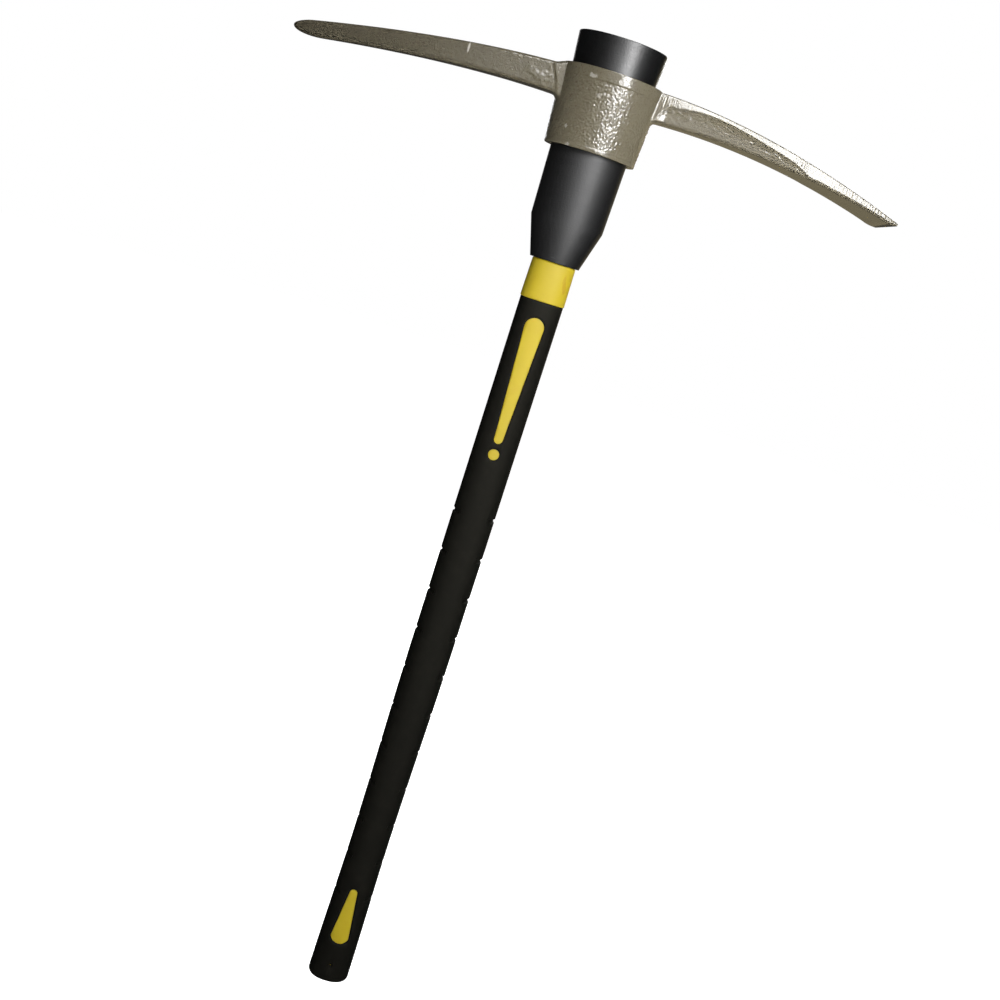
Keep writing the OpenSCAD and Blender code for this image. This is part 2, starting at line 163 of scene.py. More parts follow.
class HandleSizes(bpy.types.PropertyGroup):
    """Sizes of the sleeve, the jacket and the grip"""
    collar: width_and_depth("Collar", "Width and depth of the sleeve's lower end", 45, 38)
    shoulder: width_and_depth("Shoulder", "Width and depth of the sleeve's shoulder", 65, 45)
    seat_low: width_and_depth("Seat, bottom", "Width and depth of the sleeve at the eye's bottom", 68, 47)
    seat_high: width_and_depth("Seat, top", "Width and depth of the sleeve at the eye's top", 74, 52)
    shoulder_height: length("Shoulder height", "Height of the sleeve's tapered lower end", 35)
    crown_edge: length("Crown edge", "Rounding of the crown's edge", 0.7)
    butt_width: length("Butt width", "Width of the grip at the butt", 39.6)
    waist_width: length("Waist width", "Width of the grip at the waist", 36.4)
    waist_height: length("Waist height", "Height of the waist", 155)
    belly_width: length("Belly width", "Width of the grip at the belly", 39.6)
    belly_height: length("Belly height", "Height of the belly", 360)
    neck_width: length("Neck width", "Width of the grip at the top", 39.2)
    flatness: length("Flatness", "How much less deep than wide the handle is", 9)
    butt_edge: length("Butt edge", "Rounding of the butt's edge", 5)
    rubber: length("Rubber", "Thickness of the rubber", 2.6)
    rubber_end: length("Rubber end", "Thickness of the rubber across the butt", 4)
    bond: length("Bond", "Gap between pieces that are bonded or moulded together", 0.05)
    notches: IntProperty(name="Notches", description="Notches along each side of the grip", default=11)
    notch_pitch: length("Notch pitch", "Distance from notch to notch", 39.33)
    notch_start: length("First notch", "Height of the lowest notch", 94)
    notch_height: length("Notch height", "Height of one notch", 4.4)
    notch_depth: length("Notch depth", "Depth of a notch at the side of the grip", 1.3)
    notch_reach: length("Notch reach", "How far a notch runs in from the side", 6.5)
    notch_wall: length("Notch wall", "How far a notch's rounded wall reaches", 0.9)
    ring_edge: length("Ring edge", "Rounding of the bare ring's edges", 1)
    ring_low: length("Ring, bottom", "Width of the jacket's bare ring at the grip", 40.4)
    ring_high: length("Ring, top", "Width of the jacket's bare ring at the sleeve", 39.2)
    groove: length("Groove", "Groove between an inlay and the rubber round it", 0.5)
    proud: length("Inlay height", "Height of an inlay's face over the rubber", 0.2)
    inlay_gap: length("Inlay gap", "How much smaller all round an inlay is than its place", 0.4)
    inlay_edge: length("Inlay edge", "Width of the bevel round an inlay's face", 0.6)
    long_low: length("Long inlay, bottom", "Width of the long inlay at its lower end", 8.6)
    foot_top: length("Butt inlay, top", "Width of the butt inlay at its upper end", 8.2)
    foot_side: length("Butt inlay sides", "Height of the butt inlay's corners over the solid's end", 4)
    foot_bow: length("Butt inlay bow", "How far the butt inlay's lower end bows out", 6.3)
    pin_hole: length("Pin hole", "Diameter of the locating pin's hole near the butt", 3.2)
    pin_height: length("Pin hole height", "Height of that hole", 19)


class Finishes(bpy.types.PropertyGroup):
    """Colours of the finishes"""
    lacquer: colour("Lacquer", "Taupe lacquer of the head", "#7b7461")
    # The darker lacquer is painted shade in the low spots of the relief, and random broad clouds
    lacquer_shade_and_cloud: colour("Lacquer in recesses", "Lacquer where it lies thick in the recesses", "#5c5545")
    chip: colour("Chips", "Primer that shows in chips and scratches", "#d8d3c8")
    nylon: colour("Nylon", "Black nylon of the sleeve", "#111112")
    nylon_scuff: colour("Scuffed nylon", "Nylon where it is scuffed", "#2a2a2b")
    yellow: colour("Yellow", "Yellow plastic of the jacket and the inlays", "#cab32a")
    yellow_stain: colour("Stain", "Stain on the yellow plastic", "#b58c28")
    rubber: colour("Rubber", "Black rubber of the grip", "#0c0c0a")
    rubber_dust: colour("Dusty rubber", "Rubber where dust has settled in it", "#141310")
    rubber_shine: colour("Rubber shine", "Tint of the light that the rubber mirrors", "#fffbe8")
    glass: colour("Glass fibre", "Glass fibre and resin of the rod", "#d9cfa6")
    glass_strand: colour("Strands", "Strands of glass in the rod", "#c2b486")
    floor: colour("Floor", "Floor of the studio", "#ffffff")
    bounce: colour("Bounce", "Warm tint of the cards behind the tool", "#e4d3a4")


class Studio(bpy.types.PropertyGroup):
    """Camera and lights"""
    camera: FloatVectorProperty(
        name="Camera", description="Place of the camera in front of the tool", size=3,
        default=(0.0186, -1.103, 0.7233), subtype="TRANSLATION", unit="LENGTH")
    turn: degrees("Turn", "How far the camera goes round the tool to the left", 3)
    pitch: degrees("Pitch", "How far the camera looks down", 11.08)
    roll: degrees("Roll", "How far the camera leans", 17.9)
    lens: FloatProperty(
        name="Lens", description="Focal length on a 36 mm sensor", default=44.51, unit="CAMERA")


# Shapes: formulas and mesh tools that the pieces share

def mix(a, b, share):
    """The value that lies a share of the way from a to b."""
    return a + (b - a) * share


def clamp(value):
    """A value held between 0 and 1."""
    return min(1.0, max(0.0, value))


def ease(share):
    """0 to 1 with a soft start and end."""
    return (1 - math.cos(math.pi * clamp(share))) / 2


def oval(width, depth, count, roundness=2.0):
    """Points round an oval: a roundness of 2 is an ellipse, and more is boxier."""
    points = []
    for i in range(count):
        angle = 2 * math.pi * i / count
        across, along = math.cos(angle), math.sin(angle)
        points.append((
            math.copysign(width / 2 * abs(across) ** (2 / roundness), across),
            math.copysign(depth / 2 * abs(along) ** (2 / roundness), along)))
    return points


def oval_ring(width, depth, z, count, roundness=2.0):
    """The points of an oval that lies level at a height."""
    return [Vector((x, y, z)) for x, y in oval(width, depth, count, roundness)]


def rounded_bar(width, height, radius, side=11, corner=6):
    """Points round a rectangle with rounded corners, in Y and Z: side steps along half a side, and corner
    steps round a corner and along half the top."""
    y, z = width / 2 - radius, height / 2 - radius
    quarter = [(width / 2, z * i / side) for i in range(side)]
    for i in range(corner + 1):
        angle = math.pi / 2 * i / corner
        quarter.append((y + radius * math.cos(angle), z + radius * math.sin(angle)))
    quarter += [(y * (1 - i / corner), height / 2) for i in range(1, corner + 1)]
    half = quarter + [(-y, z) for y, z in reversed(quarter[:-1])]
    return half + [(y, -z) for y, z in reversed(half[1:-1])]


def spread(start, end, step):
    """Even values from start to end, about a step apart."""
    count = max(1, round(abs(end - start) / step))
    return [mix(start, end, i / count) for i in range(count + 1)]


def rounding(radius, steps=4):
    """A rounded edge as pairs of how far from the end, and how far drawn in there."""
    angles = [math.pi / 2 * i / steps for i in range(steps + 1)]
    return [(radius * (1 - math.cos(a)), radius * (1 - math.sin(a))) for a in angles]


def loft(bm, sections):
    """Extrudes a ring through sections of as many points, and returns the edges of both open ends. Each
    vertex keeps its place in the ring until the mesh is made."""
    place = bm.verts.layers.int.get("place") or bm.verts.layers.int.new("place")
    known = len(bm.edges)
    ring = bmesh.ops.create_circle(bm, segments=len(sections[0]), radius=1)["verts"]
    for i, vertex in enumerate(ring):
        vertex[place] = i
        vertex.co = sections[0][i]
    bm.edges.ensure_lookup_table()
    first = bm.edges[known:]
    edges = first
    for points in sections[1:]:
        made = bmesh.ops.extrude_edge_only(bm, edges=edges)["geom"]
        for part in made:
            if isinstance(part, bmesh.types.BMVert):
                part.co = points[part[place]]
        edges = [e for e in made if isinstance(e, bmesh.types.BMEdge) and e.is_boundary]
    return first, edges


def closed_loft(bm, sections):
    """A loft with a face over each end."""
    for end in loft(bm, sections):
        bmesh.ops.holes_fill(bm, edges=end, sides=0)


def tube_loft(bm, sections):
    """A loft whose last section is bridged to its first one."""
    first, last = loft(bm, sections)
    bmesh.ops.bridge_loops(bm, edges=first + last)


def object_from(bm, name):
    """A new object from a bmesh, with its faces turned outwards."""
    bmesh.ops.recalc_face_normals(bm, faces=bm.faces[:])
    place = bm.verts.layers.int.get("place")
    if place is not None:
        bm.verts.layers.int.remove(place)
    mesh = bpy.data.meshes.new(name)
    bm.to_mesh(mesh)
    bm.free()
    made = bpy.data.objects.new(name, mesh)
    bpy.context.scene.collection.objects.link(made)
    return made


def combine(piece, other, operation):
    """Joins another solid to a piece, or cuts it out of it, and removes the other solid."""
    tool = piece.modifiers.new("Combine", "BOOLEAN")
    tool.object = other
    tool.operation = operation
    tool.solver = "MANIFOLD"
    made = piece.evaluated_get(bpy.context.evaluated_depsgraph_get())
    mesh = bpy.data.meshes.new_from_object(made)
    piece.modifiers.clear()
    piece.data = mesh
    # Slivers along the seam are dissolved, and the holes that they leave are filled
    sliver = 0.003 * MM
    bm = bmesh.new()
    bm.from_mesh(mesh)
    bmesh.ops.dissolve_degenerate(bm, dist=sliver, edges=bm.edges[:])
    bmesh.ops.holes_fill(bm, edges=[e for e in bm.edges if e.is_boundary], sides=0)
    bm.to_mesh(mesh)
    bm.free()
    bpy.data.objects.remove(other)


def finish_piece(piece, body, material, node, crease=35):
    """Shades a piece, gives it its finish and ties it to the frame."""
    if not piece.data.polygons:
        raise RuntimeError(f"{piece.name} has no faces")
    piece.data.shade_smooth()
    piece.data.set_sharp_from_angle(angle=math.radians(crease))
    piece.data.materials.clear()
    piece.data.materials.append(material)
    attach(piece, body)
    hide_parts(node)


# Materials

def add(tree, kind, sockets, **settings):
    """Adds a node with its settings, and links or sets its sockets."""
    node = tree.nodes.new(kind)
    for name, value in settings.items():
        setattr(node, name, value)
    for socket, value in sockets.items():
        if isinstance(value, bpy.types.NodeSocket):
            tree.links.new(value, node.inputs[socket])
        else:
            node.inputs[socket].default_value = value
    return node


def new_material(name):
    """An empty material: the material, its nodes, its shader and the object's own coordinates."""
    material = bpy.data.materials.new(name)
    material.use_nodes = True
    tree = material.node_tree
    tree.nodes.clear()
    shader = add(tree, "ShaderNodeBsdfPrincipled", {})
    add(tree, "ShaderNodeOutputMaterial", {"Surface": shader.outputs["BSDF"]})
    place = add(tree, "ShaderNodeTexCoord", {}).outputs["Object"]
    return material, tree, shader, place


def dress(tree, shader, base, roughness, height, depth, ior):
    """Gives a shader its colour, its roughness, a relief of a depth in millimetres and its IOR."""
    relief = add(tree, "ShaderNodeBump", {"Height": height, "Distance": depth * MM, "Strength": 1.0})
    tree.links.new(base, shader.inputs["Base Color"])
    tree.links.new(roughness, shader.inputs["Roughness"])
    tree.links.new(relief.outputs["Normal"], shader.inputs["Normal"])
    shader.inputs["IOR"].default_value = ior


def per_metre(millimetres):
    """Scale of a pattern whose features are this far apart."""
    return 1 / (millimetres * MM)


def spots(tree, place, wobble, marks):
    """A mask of spots that a wobble makes ragged. Each mark is its middle, half its size and its strength,
    and all lengths are in millimetres."""
    uneven = add(tree, "ShaderNodeTexNoise", {"Vector": place, "Scale": per_metre(1.6), "Detail": 2.0})
    shift = add(tree, "ShaderNodeVectorMath", {
        0: uneven.outputs["Color"], 1: (0.5, 0.5, 0.5)}, operation="SUBTRACT")
    ragged = add(tree, "ShaderNodeVectorMath", {
        0: shift.outputs[0], 1: (wobble * MM,) * 3, 2: place}, operation="MULTIPLY_ADD")
    mask = 0.0
    for middle, half, strength in marks:
        near = add(tree, "ShaderNodeMapping", {
            "Vector": ragged.outputs[0], "Location": Vector(middle) * MM, "Scale": Vector(half) * MM},
            vector_type="TEXTURE")
        away = add(tree, "ShaderNodeVectorMath", {0: near.outputs["Vector"]}, operation="LENGTH")
        spot = add(tree, "ShaderNodeMapRange", {
            "Value": away.outputs["Value"], "From Min": 1.0, "From Max": 0.6, "To Max": strength})
        mask = add(tree, "ShaderNodeMath", {
            0: spot.outputs["Result"], 1: mask}, operation="MAXIMUM").outputs[0]
    return mask


def lacquered_forging(colours):
    """Drop-forged steel under taupe gloss lacquer. The paint flows over the rough skin of the forging, so it
    shines on the bumps, takes painted shade in the low spots of its shader relief and shows pale primer where it
    is chipped."""
    material, tree, shader, place = new_material("lacquered_forging")
    hammered = add(tree, "ShaderNodeAttribute", {}, attribute_name="hammered").outputs["Fac"]
    hatched = add(tree, "ShaderNodeAttribute", {}, attribute_name="hatched").outputs["Fac"]
    patches = add(tree, "ShaderNodeTexNoise", {
        "Vector": place, "Scale": per_metre(22), "Detail": 4.0, "Roughness": 0.6}).outputs["Fac"]
    bumps = add(tree, "ShaderNodeTexNoise", {
        "Vector": place, "Scale": per_metre(1.5), "Detail": 1.0, "Roughness": 0.5,
        "Distortion": 0.6}).outputs["Fac"]
    crosswise = add(tree, "ShaderNodeMapping", {
        "Vector": place, "Scale": (per_metre(1.4), per_metre(20), per_metre(9))})
    hatch = add(tree, "ShaderNodeTexNoise", {
        "Vector": crosswise.outputs["Vector"], "Scale": 1.0, "Detail": 0.0}).outputs["Fac"]
    # Single grains of scale under the paint, about 3 mm apart
    cells = add(tree, "ShaderNodeTexVoronoi", {"Vector": place, "Scale": per_metre(3)}).outputs["Distance"]
    grit = add(tree, "ShaderNodeMapRange", {
        "Value": cells, "From Min": 0.2, "From Max": 0.0, "To Max": 0.9}).outputs["Result"]
    # Painted shade: darker lacquer in the low spots of the shader's bump relief, and a broad random cloudiness
    shaded_pits = add(tree, "ShaderNodeMapRange", {
        "Value": bumps, "From Min": 0.45, "From Max": 0.28, "To Max": 0.6}).outputs["Result"]
    cloud = add(tree, "ShaderNodeMapRange", {
        "Value": patches, "From Min": 0.42, "From Max": 0.7, "To Max": 0.18}).outputs["Result"]
    darkened = add(tree, "ShaderNodeMath", {0: shaded_pits, 1: cloud}, operation="MAXIMUM").outputs[0]
    paint = add(tree, "ShaderNodeMix", {
        MIX_FACTOR: darkened, MIX_A: colours.lacquer, MIX_B: colours.lacquer_shade_and_cloud},
        data_type="RGBA").outputs[MIX_RESULT]
    # Chips on the rim and the wall of the eye, and a scratch across the pick
    chipped = spots(tree, place, 3.5, [
        ((-17.5, -31.4, 878), (4.4, 5, 1.9), 0.5), ((-8, -32.4, 864), (2.7, 5, 2.6), 0.38),
        ((-26.5, -24.4, 834), (1.3, 5, 2.4), 0.45), ((-21, -27.3, 820), (2.4, 5, 1.3), 0.45)])
    scratch = spots(tree, place, 0.8, [((-123.8, -9.3, 871), (1.1, 6, 5), 1)])
    bared = add(tree, "ShaderNodeMath", {0: chipped, 1: scratch}, operation="MAXIMUM").outputs[0]
    coat = add(tree, "ShaderNodeMix", {
        MIX_FACTOR: bared, MIX_A: paint, MIX_B: colours.chip}, data_type="RGBA").outputs[MIX_RESULT]
    gloss = add(tree, "ShaderNodeMapRange", {
        "Value": patches, "From Min": 0.3, "From Max": 0.7, "To Min": 0.11, "To Max": 0.17})
    skin = add(tree, "ShaderNodeMath", {0: bumps, 1: grit}, operation="ADD").outputs[0]
    rough = add(tree, "ShaderNodeMath", {0: skin, 1: hammered}, operation="MULTIPLY").outputs[0]
    height = add(tree, "ShaderNodeMath", {
        0: hatch, 1: hatched, 2: rough}, operation="MULTIPLY_ADD").outputs[0]
    dress(tree, shader, coat, gloss.outputs["Result"], height, depth=0.28, ior=1.5)
    return material


def moulded_nylon(colours):
    """Black glass-filled nylon as it leaves the mould: satin, with faint turning marks round it and pale
    scuffs from the head being knocked on."""
    material, tree, shader, place = new_material("moulded_nylon")
    turned = add(tree, "ShaderNodeMapping", {
        "Vector": place, "Scale": (per_metre(25), per_metre(25), per_metre(1.3))})
    lines = add(tree, "ShaderNodeTexNoise", {
        "Vector": turned.outputs["Vector"], "Scale": 1.0, "Detail": 2.0}).outputs["Fac"]
    scuffs = add(tree, "ShaderNodeTexNoise", {
        "Vector": place, "Scale": per_metre(5), "Detail": 6.0, "Roughness": 0.7}).outputs["Fac"]
    grain = add(tree, "ShaderNodeTexNoise", {
        "Vector": place, "Scale": per_metre(0.9), "Detail": 1.0}).outputs["Fac"]
    faint = add(tree, "ShaderNodeMapRange", {
        "Value": scuffs, "From Min": 0.66, "From Max": 0.74}).outputs["Result"]
    # A nick in the crown and one in the lower edge
    nicks = spots(tree, place, 1.2, [
        ((2.2, -27.2, 900), (0.9, 3, 0.9), 1), ((-3.3, -19.2, 727.3), (3, 3, 0.6), 1)])
    worn = add(tree, "ShaderNodeMath", {0: faint, 1: nicks}, operation="MAXIMUM").outputs[0]
    base = add(tree, "ShaderNodeMix", {
        MIX_FACTOR: worn, MIX_A: colours.nylon, MIX_B: colours.nylon_scuff}, data_type="RGBA")
    satin = add(tree, "ShaderNodeMapRange", {
        "Value": lines, "To Min": 0.38, "To Max": 0.56}).outputs["Result"]
    # The crown is burnished by blows on it
    height = add(tree, "ShaderNodeSeparateXYZ", {"Vector": place}).outputs["Z"]
    burnished = add(tree, "ShaderNodeMapRange", {
        "Value": height, "From Min": EYE_TOP - 10 * MM, "From Max": EYE_TOP,
        "To Max": 0.14}).outputs["Result"]
    shine = add(tree, "ShaderNodeMath", {0: satin, 1: burnished}, operation="SUBTRACT").outputs[0]
    uneven = add(tree, "ShaderNodeMath", {
        0: lines, 1: 0.6, 2: grain}, operation="MULTIPLY_ADD").outputs[0]
    dress(tree, shader, base.outputs[MIX_RESULT], shine, uneven, depth=0.07, ior=1.53)
    return material


def moulded_yellow(colours):
    """Yellow polypropylene from the mould: satin, a little cloudy, with a brownish stain in places."""
    material, tree, shader, place = new_material("moulded_yellow")
    cloud = add(tree, "ShaderNodeTexNoise", {
        "Vector": place, "Scale": per_metre(14), "Detail": 3.0}).outputs["Fac"]
    grain = add(tree, "ShaderNodeTexNoise", {
        "Vector": place, "Scale": per_metre(1.1), "Detail": 2.0}).outputs["Fac"]
    cloudy = add(tree, "ShaderNodeMapRange", {
        "Value": cloud, "From Min": 0.5, "From Max": 0.8, "To Max": 0.2}).outputs["Result"]
    # A brown streak along the right of the bare ring
    streak = spots(tree, place, 1.5, [
        ((15, -10.6, 703.5), (2, 3, 5), 0.5), ((13.9, -11.5, 707), (1.8, 3, 5), 0.5),
        ((12.8, -12.4, 711), (1.7, 3, 6), 0.4)])
    stained = add(tree, "ShaderNodeMath", {0: streak, 1: cloudy}, operation="MAXIMUM").outputs[0]
    base = add(tree, "ShaderNodeMix", {
        MIX_FACTOR: stained, MIX_A: colours.yellow, MIX_B: colours.yellow_stain}, data_type="RGBA")
    satin = add(tree, "ShaderNodeMapRange", {"Value": grain, "To Min": 0.48, "To Max": 0.6})
    dress(tree, shader, base.outputs[MIX_RESULT], satin.outputs["Result"], grain, depth=0.03, ior=1.49)
    # Handling has dulled it
    shader.inputs["Specular IOR Level"].default_value = 0.2
    return material


def moulded_rubber(colours):
    """Black thermoplastic rubber from an etched mould: matte, fine grain, a little dust in it."""
    material, tree, shader, place = new_material("moulded_rubber")
    # The etched grain of about 0.2 mm is drawn at 0.8 mm so that it shows
    grain = add(tree, "ShaderNodeTexNoise", {
        "Vector": place, "Scale": per_metre(0.8), "Detail": 2.0}).outputs["Fac"]
    dust = add(tree, "ShaderNodeTexNoise", {
        "Vector": place, "Scale": per_metre(9), "Detail": 5.0, "Roughness": 0.7}).outputs["Fac"]
    dusty = add(tree, "ShaderNodeMapRange", {
        "Value": dust, "From Min": 0.45, "From Max": 0.75}).outputs["Result"]
    base = add(tree, "ShaderNodeMix", {
        MIX_FACTOR: dusty, MIX_A: colours.rubber, MIX_B: colours.rubber_dust}, data_type="RGBA")
    matte = add(tree, "ShaderNodeMapRange", {"Value": dust, "To Min": 0.6, "To Max": 0.8})
    dress(tree, shader, base.outputs[MIX_RESULT], matte.outputs["Result"], grain, depth=0.05, ior=1.5)
    # Dust and the etched grain take most of the shine away and warm what is left
    shader.inputs["Specular IOR Level"].default_value = 0.15
    shader.inputs["Specular Tint"].default_value = colours.rubber_shine
    return material


def pultruded_glass(colours):
    """Glass fibre pulled through a die with its resin: smooth and straw coloured, with long strands."""
    material, tree, shader, place = new_material("pultruded_glass")
    along = add(tree, "ShaderNodeMapping", {
        "Vector": place, "Scale": (per_metre(0.7), per_metre(0.7), per_metre(90))})
    strands = add(tree, "ShaderNodeTexNoise", {
        "Vector": along.outputs["Vector"], "Scale": 1.0, "Detail": 3.0}).outputs["Fac"]
    base = add(tree, "ShaderNodeMix", {
        MIX_FACTOR: strands, MIX_A: colours.glass, MIX_B: colours.glass_strand}, data_type="RGBA")
    resin = add(tree, "ShaderNodeMapRange", {"Value": strands, "To Min": 0.22, "To Max": 0.35})
    dress(tree, shader, base.outputs[MIX_RESULT], resin.outputs["Result"], strands, depth=0.03, ior=1.55)
    return material


def white_floor(colours):
    """Studio floor lit from below, so that only the faintest shadow shows on it."""
    material, _, shader, _ = new_material("white_floor")
    shader.inputs["Base Color"].default_value = colours.floor
    shader.inputs["Roughness"].default_value = 0.9
    shader.inputs["Emission Color"].default_value = colours.floor
    shader.inputs["Emission Strength"].default_value = 1.0
    return material


# The head

def seat_share(z):
    """Where a height lies between the bottom and the top of the eye."""
    return (z - EYE_BOTTOM) / (EYE_TOP - EYE_BOTTOM)


def hole_size(handle, head, z):
    """Width and depth of the eye's hole: the sleeve's taper with the gap round it."""
    seat = Vector(handle.seat_low).lerp(Vector(handle.seat_high), seat_share(z))
    return seat + 2 * head.gap * Vector((1, 1))


def eye_size(handle, head, z):
    """Width and depth of the eye's outside, without rim and lip."""
    wall_end = mix(head.wall_end_bottom, head.wall_end_top, seat_share(z))
    return hole_size(handle, head, z) + 2 * Vector((wall_end, head.wall_side))


def wall_x(handle, head, y, z):
    """Half the eye's width at a depth and height."""
    size = eye_size(handle, head, z)
    return size.x / 2 * math.sqrt(max(0.0, 1 - (2 * y / size.y) ** 2))


def root_x(handle, head):
    """Where both arms leave the end of the eye, as a distance from the handle's axis."""
    return eye_size(handle, head, EYE_TOP).x / 2


def bumpy(point, spacing, stretch=1.0):
    """Irregular bumps about a spacing apart and stretched along Z, from -1 to 1."""
    place = Vector((point.x, point.y, point.z / stretch)) / spacing
    # A broader noise pushes the bumps about, so that they don't lie in rows
    push, broader = 0.5, 0.7
    return noise.noise(place + push * noise.noise_vector(broader * place))


def eye_ring(handle, head, z):
    """One ring of the eye's outside with its rim, lip, rounded edges and hammered wall."""
    size = eye_size(handle, head, z)
    rim_z = EYE_TOP - head.rim_height
    end = min(z - EYE_BOTTOM, EYE_TOP - z)
    drawn_in = head.edge - math.sqrt(max(0.0, head.edge ** 2 - max(0.0, head.edge - end) ** 2))
    lip = head.lip_step * (1 - ease((z - EYE_BOTTOM - head.lip_height) / head.lip_step))
    rim = ease((z - rim_z + head.rim_step) / head.rim_step)
    wall = (1 - rim) * ease((z - EYE_BOTTOM - head.lip_height) / WALL_START)
    # The step under the rim is sharp to the right and fades to the left
    faded, fade_left, fade_width = 0.15, 18 * MM, 34 * MM
    # Hammer marks are a little taller than wide, and weak on the rim and the lip
    stretch, weak = 1.2, 0.2
    points = []
    for x, y in oval(size.x, size.y, EYE_POINTS):
        out = Vector((x / size.x ** 2, y / size.y ** 2, 0)).normalized()
        point = Vector((x, y, z))
        step = head.rim_step * mix(faded, 1, ease((x + fade_left) / fade_width))
        bump = head.hammer_depth * bumpy(point, head.hammer_size, stretch) * mix(weak, 1, wall)
        points.append(point + out * (lip + step * rim - drawn_in + bump))
    return points


def eye_tube(handle, head):
    """The eye as a closed tube: up the outside, over the top and down the hole."""
    ring_step, hole_step, hole_bevel = 0.58 * MM, 8 * MM, 0.8 * MM
    edges = [away for away, drawn in rounding(head.edge)]
    heights = [EYE_BOTTOM + e for e in edges]
    heights += spread(EYE_BOTTOM + head.edge, EYE_TOP - head.edge, ring_step)[1:-1]
    heights += [EYE_TOP - e for e in reversed(edges)]
    sections = [eye_ring(handle, head, z) for z in heights]
    hole = [(EYE_TOP, hole_bevel)]
    hole += [(z, 0) for z in spread(EYE_TOP - hole_bevel, EYE_BOTTOM + hole_bevel, hole_step)]
    hole += [(EYE_BOTTOM, hole_bevel)]
    for z, widened in hole:
        size = hole_size(handle, head, z) + 2 * widened * Vector((1, 1))
        sections.append(oval_ring(size.x, size.y, z, EYE_POINTS))
    bm = bmesh.new()
    tube_loft(bm, sections)
    return object_from(bm, "head_forging")


def fillet(out, radius):
    """How far a round inside corner still stands out, at a distance from the wall that it ends in."""
    share = clamp(1 - out / radius)
    return radius * (1 - math.sqrt(1 - share ** 2))


def rounded(share, start=0.1):
    """From a blunt start to 1 along a quarter of an ellipse, steep at first."""
    return math.sqrt(1 - (1 - start ** 2) * (1 - clamp(share)) ** 2)


def arm_sections(handle, head, reach, tail, profile):
    """Sections of an arm: out of the wall of the eye, through the fillet and on to the end."""
    root = root_x(handle, head)
    # Past this distance from the eye the sections are flat, and they lie further apart
    straight, root_step, arm_step = 11 * MM, 0.4 * MM, 1.15 * MM
    # The first two lie inside the wall
    outs = [-2 * MM, -1 * MM]
    outs += [away for away, drawn in rounding(head.root_fillet, steps=8)]
    outs += spread(head.root_fillet, straight, root_step)[1:]
    sections = []
    for out in outs:
        section = []
        for y, z in profile(handle, head, root + max(0, out), max(0, out)):
            wall = mix(wall_x(handle, head, y, z), root, ease(out / straight))
            section.append(Vector((wall + out, y, z)))
        sections.append(section)
    stations = spread(root + straight, reach - tail, arm_step)[1:]
    stations += [reach - left for away, left in rounding(tail, steps=20)[1:]]
    for x in stations:
        sections.append([Vector((x, y, z)) for y, z in profile(handle, head, x, x - root)])
    return sections


def arm(handle, head, name, reach, tail, profile, direction):
    """One arm as a closed solid that starts inside the wall of the eye. Direction -1 is to the left."""
    sections = arm_sections(handle, head, reach, tail, profile)
    bm = bmesh.new()
    closed_loft(bm, [[Vector((direction * p.x, p.y, p.z)) for p in section] for section in sections])
    return object_from(bm, name)


def pick_lift(head, place, out, along, up):
    """How far the pick's side stands out: the collar, and past it the marks of forging less the dish."""
    # The collar's edge, and how much of the collar is left at the pick's back
    collar_edge, collar_back = 1.8 * MM, 0.5
    # Middle of the dish, out from the eye and as a share of the height, and its reach both ways
    dish_out, dish_up, dish_length, dish_height = 15 * MM, 0.36, 14 * MM, 0.22
    # Broad waves, and how much of the hammer marks' height is left at the eye and at the point
    wave_height, wave_spacing = 0.15 * MM, 7 * MM
    marks_root, marks_tip = 0.5, 0.25
    step = 1 - ease((out - mix(head.collar_low, head.collar_high, up)) / collar_edge)
    away = Vector(((out - dish_out) / dish_length, (up - dish_up) / dish_height))
    dish = head.dish * math.exp(-away.length_squared)
    wave = wave_height * bumpy(place, wave_spacing)
    marks = head.hammer_depth * mix(marks_root, marks_tip, along)
    wave += marks * bumpy(place, ARM_SPACING * head.hammer_size)
    return head.collar * mix(1, collar_back, up) * step + (wave - dish) * (1 - step)


def pick_profile(handle, head, x, out):
    """The pick's section: a rounded bar that tapers and bends down, with a collar at the eye."""
    reach, root = -HEAD_LOW.x, root_x(handle, head)
    along = clamp((x - root) / (reach - root))
    bar = mix(head.arm_height, head.pick_tip_height, along)
    line = EYE_TOP - head.pick_drop - head.arm_height / 2 - head.pick_droop * along ** PICK_BEND
    # The point lies a third of the way down from the pick's back
    drop, rise = bar / 3, bar * 2 / 3
    top = line + bar / 2 - drop * (1 - rounded((reach - x) / head.nose_top))
    bottom = line - bar / 2 + rise * (1 - rounded((reach - x) / head.nose_under))
    top += (head.pick_drop - head.edge) * (1 - ease(out / head.collar_high))
    bottom -= fillet(out, head.root_fillet)
    width = mix(head.arm_width, head.pick_tip_width, along) * rounded((reach - x) / head.nose_top)
    # Rounding at the eye and at the point, in millimetres, and the largest share of a side that it takes
    root_edge, tip_edge, most = 2.2, 3.6, 0.4
    radius = min(mix(root_edge, tip_edge, along) * MM, most * width, most * (top - bottom))
    # Close to the middle line the marks fade, so that both sides meet
    middle = 3 * MM
    points = []
    for y, z in rounded_bar(width, top - bottom, radius):
        lift = pick_lift(head, Vector((x, y, z)), out, along, z / (top - bottom) + 0.5)
        points.append((y + math.copysign(lift, y) * clamp(abs(y) / middle), (top + bottom) / 2 + z))
    return points


def adze_top(handle, head, x):
    """Height of the adze's back at a distance from the axis."""
    root = root_x(handle, head)
    along = clamp((x - root) / (HEAD_HIGH.x - root))
    return EYE_TOP - head.adze_sink - head.adze_droop * along ** ADZE_BEND


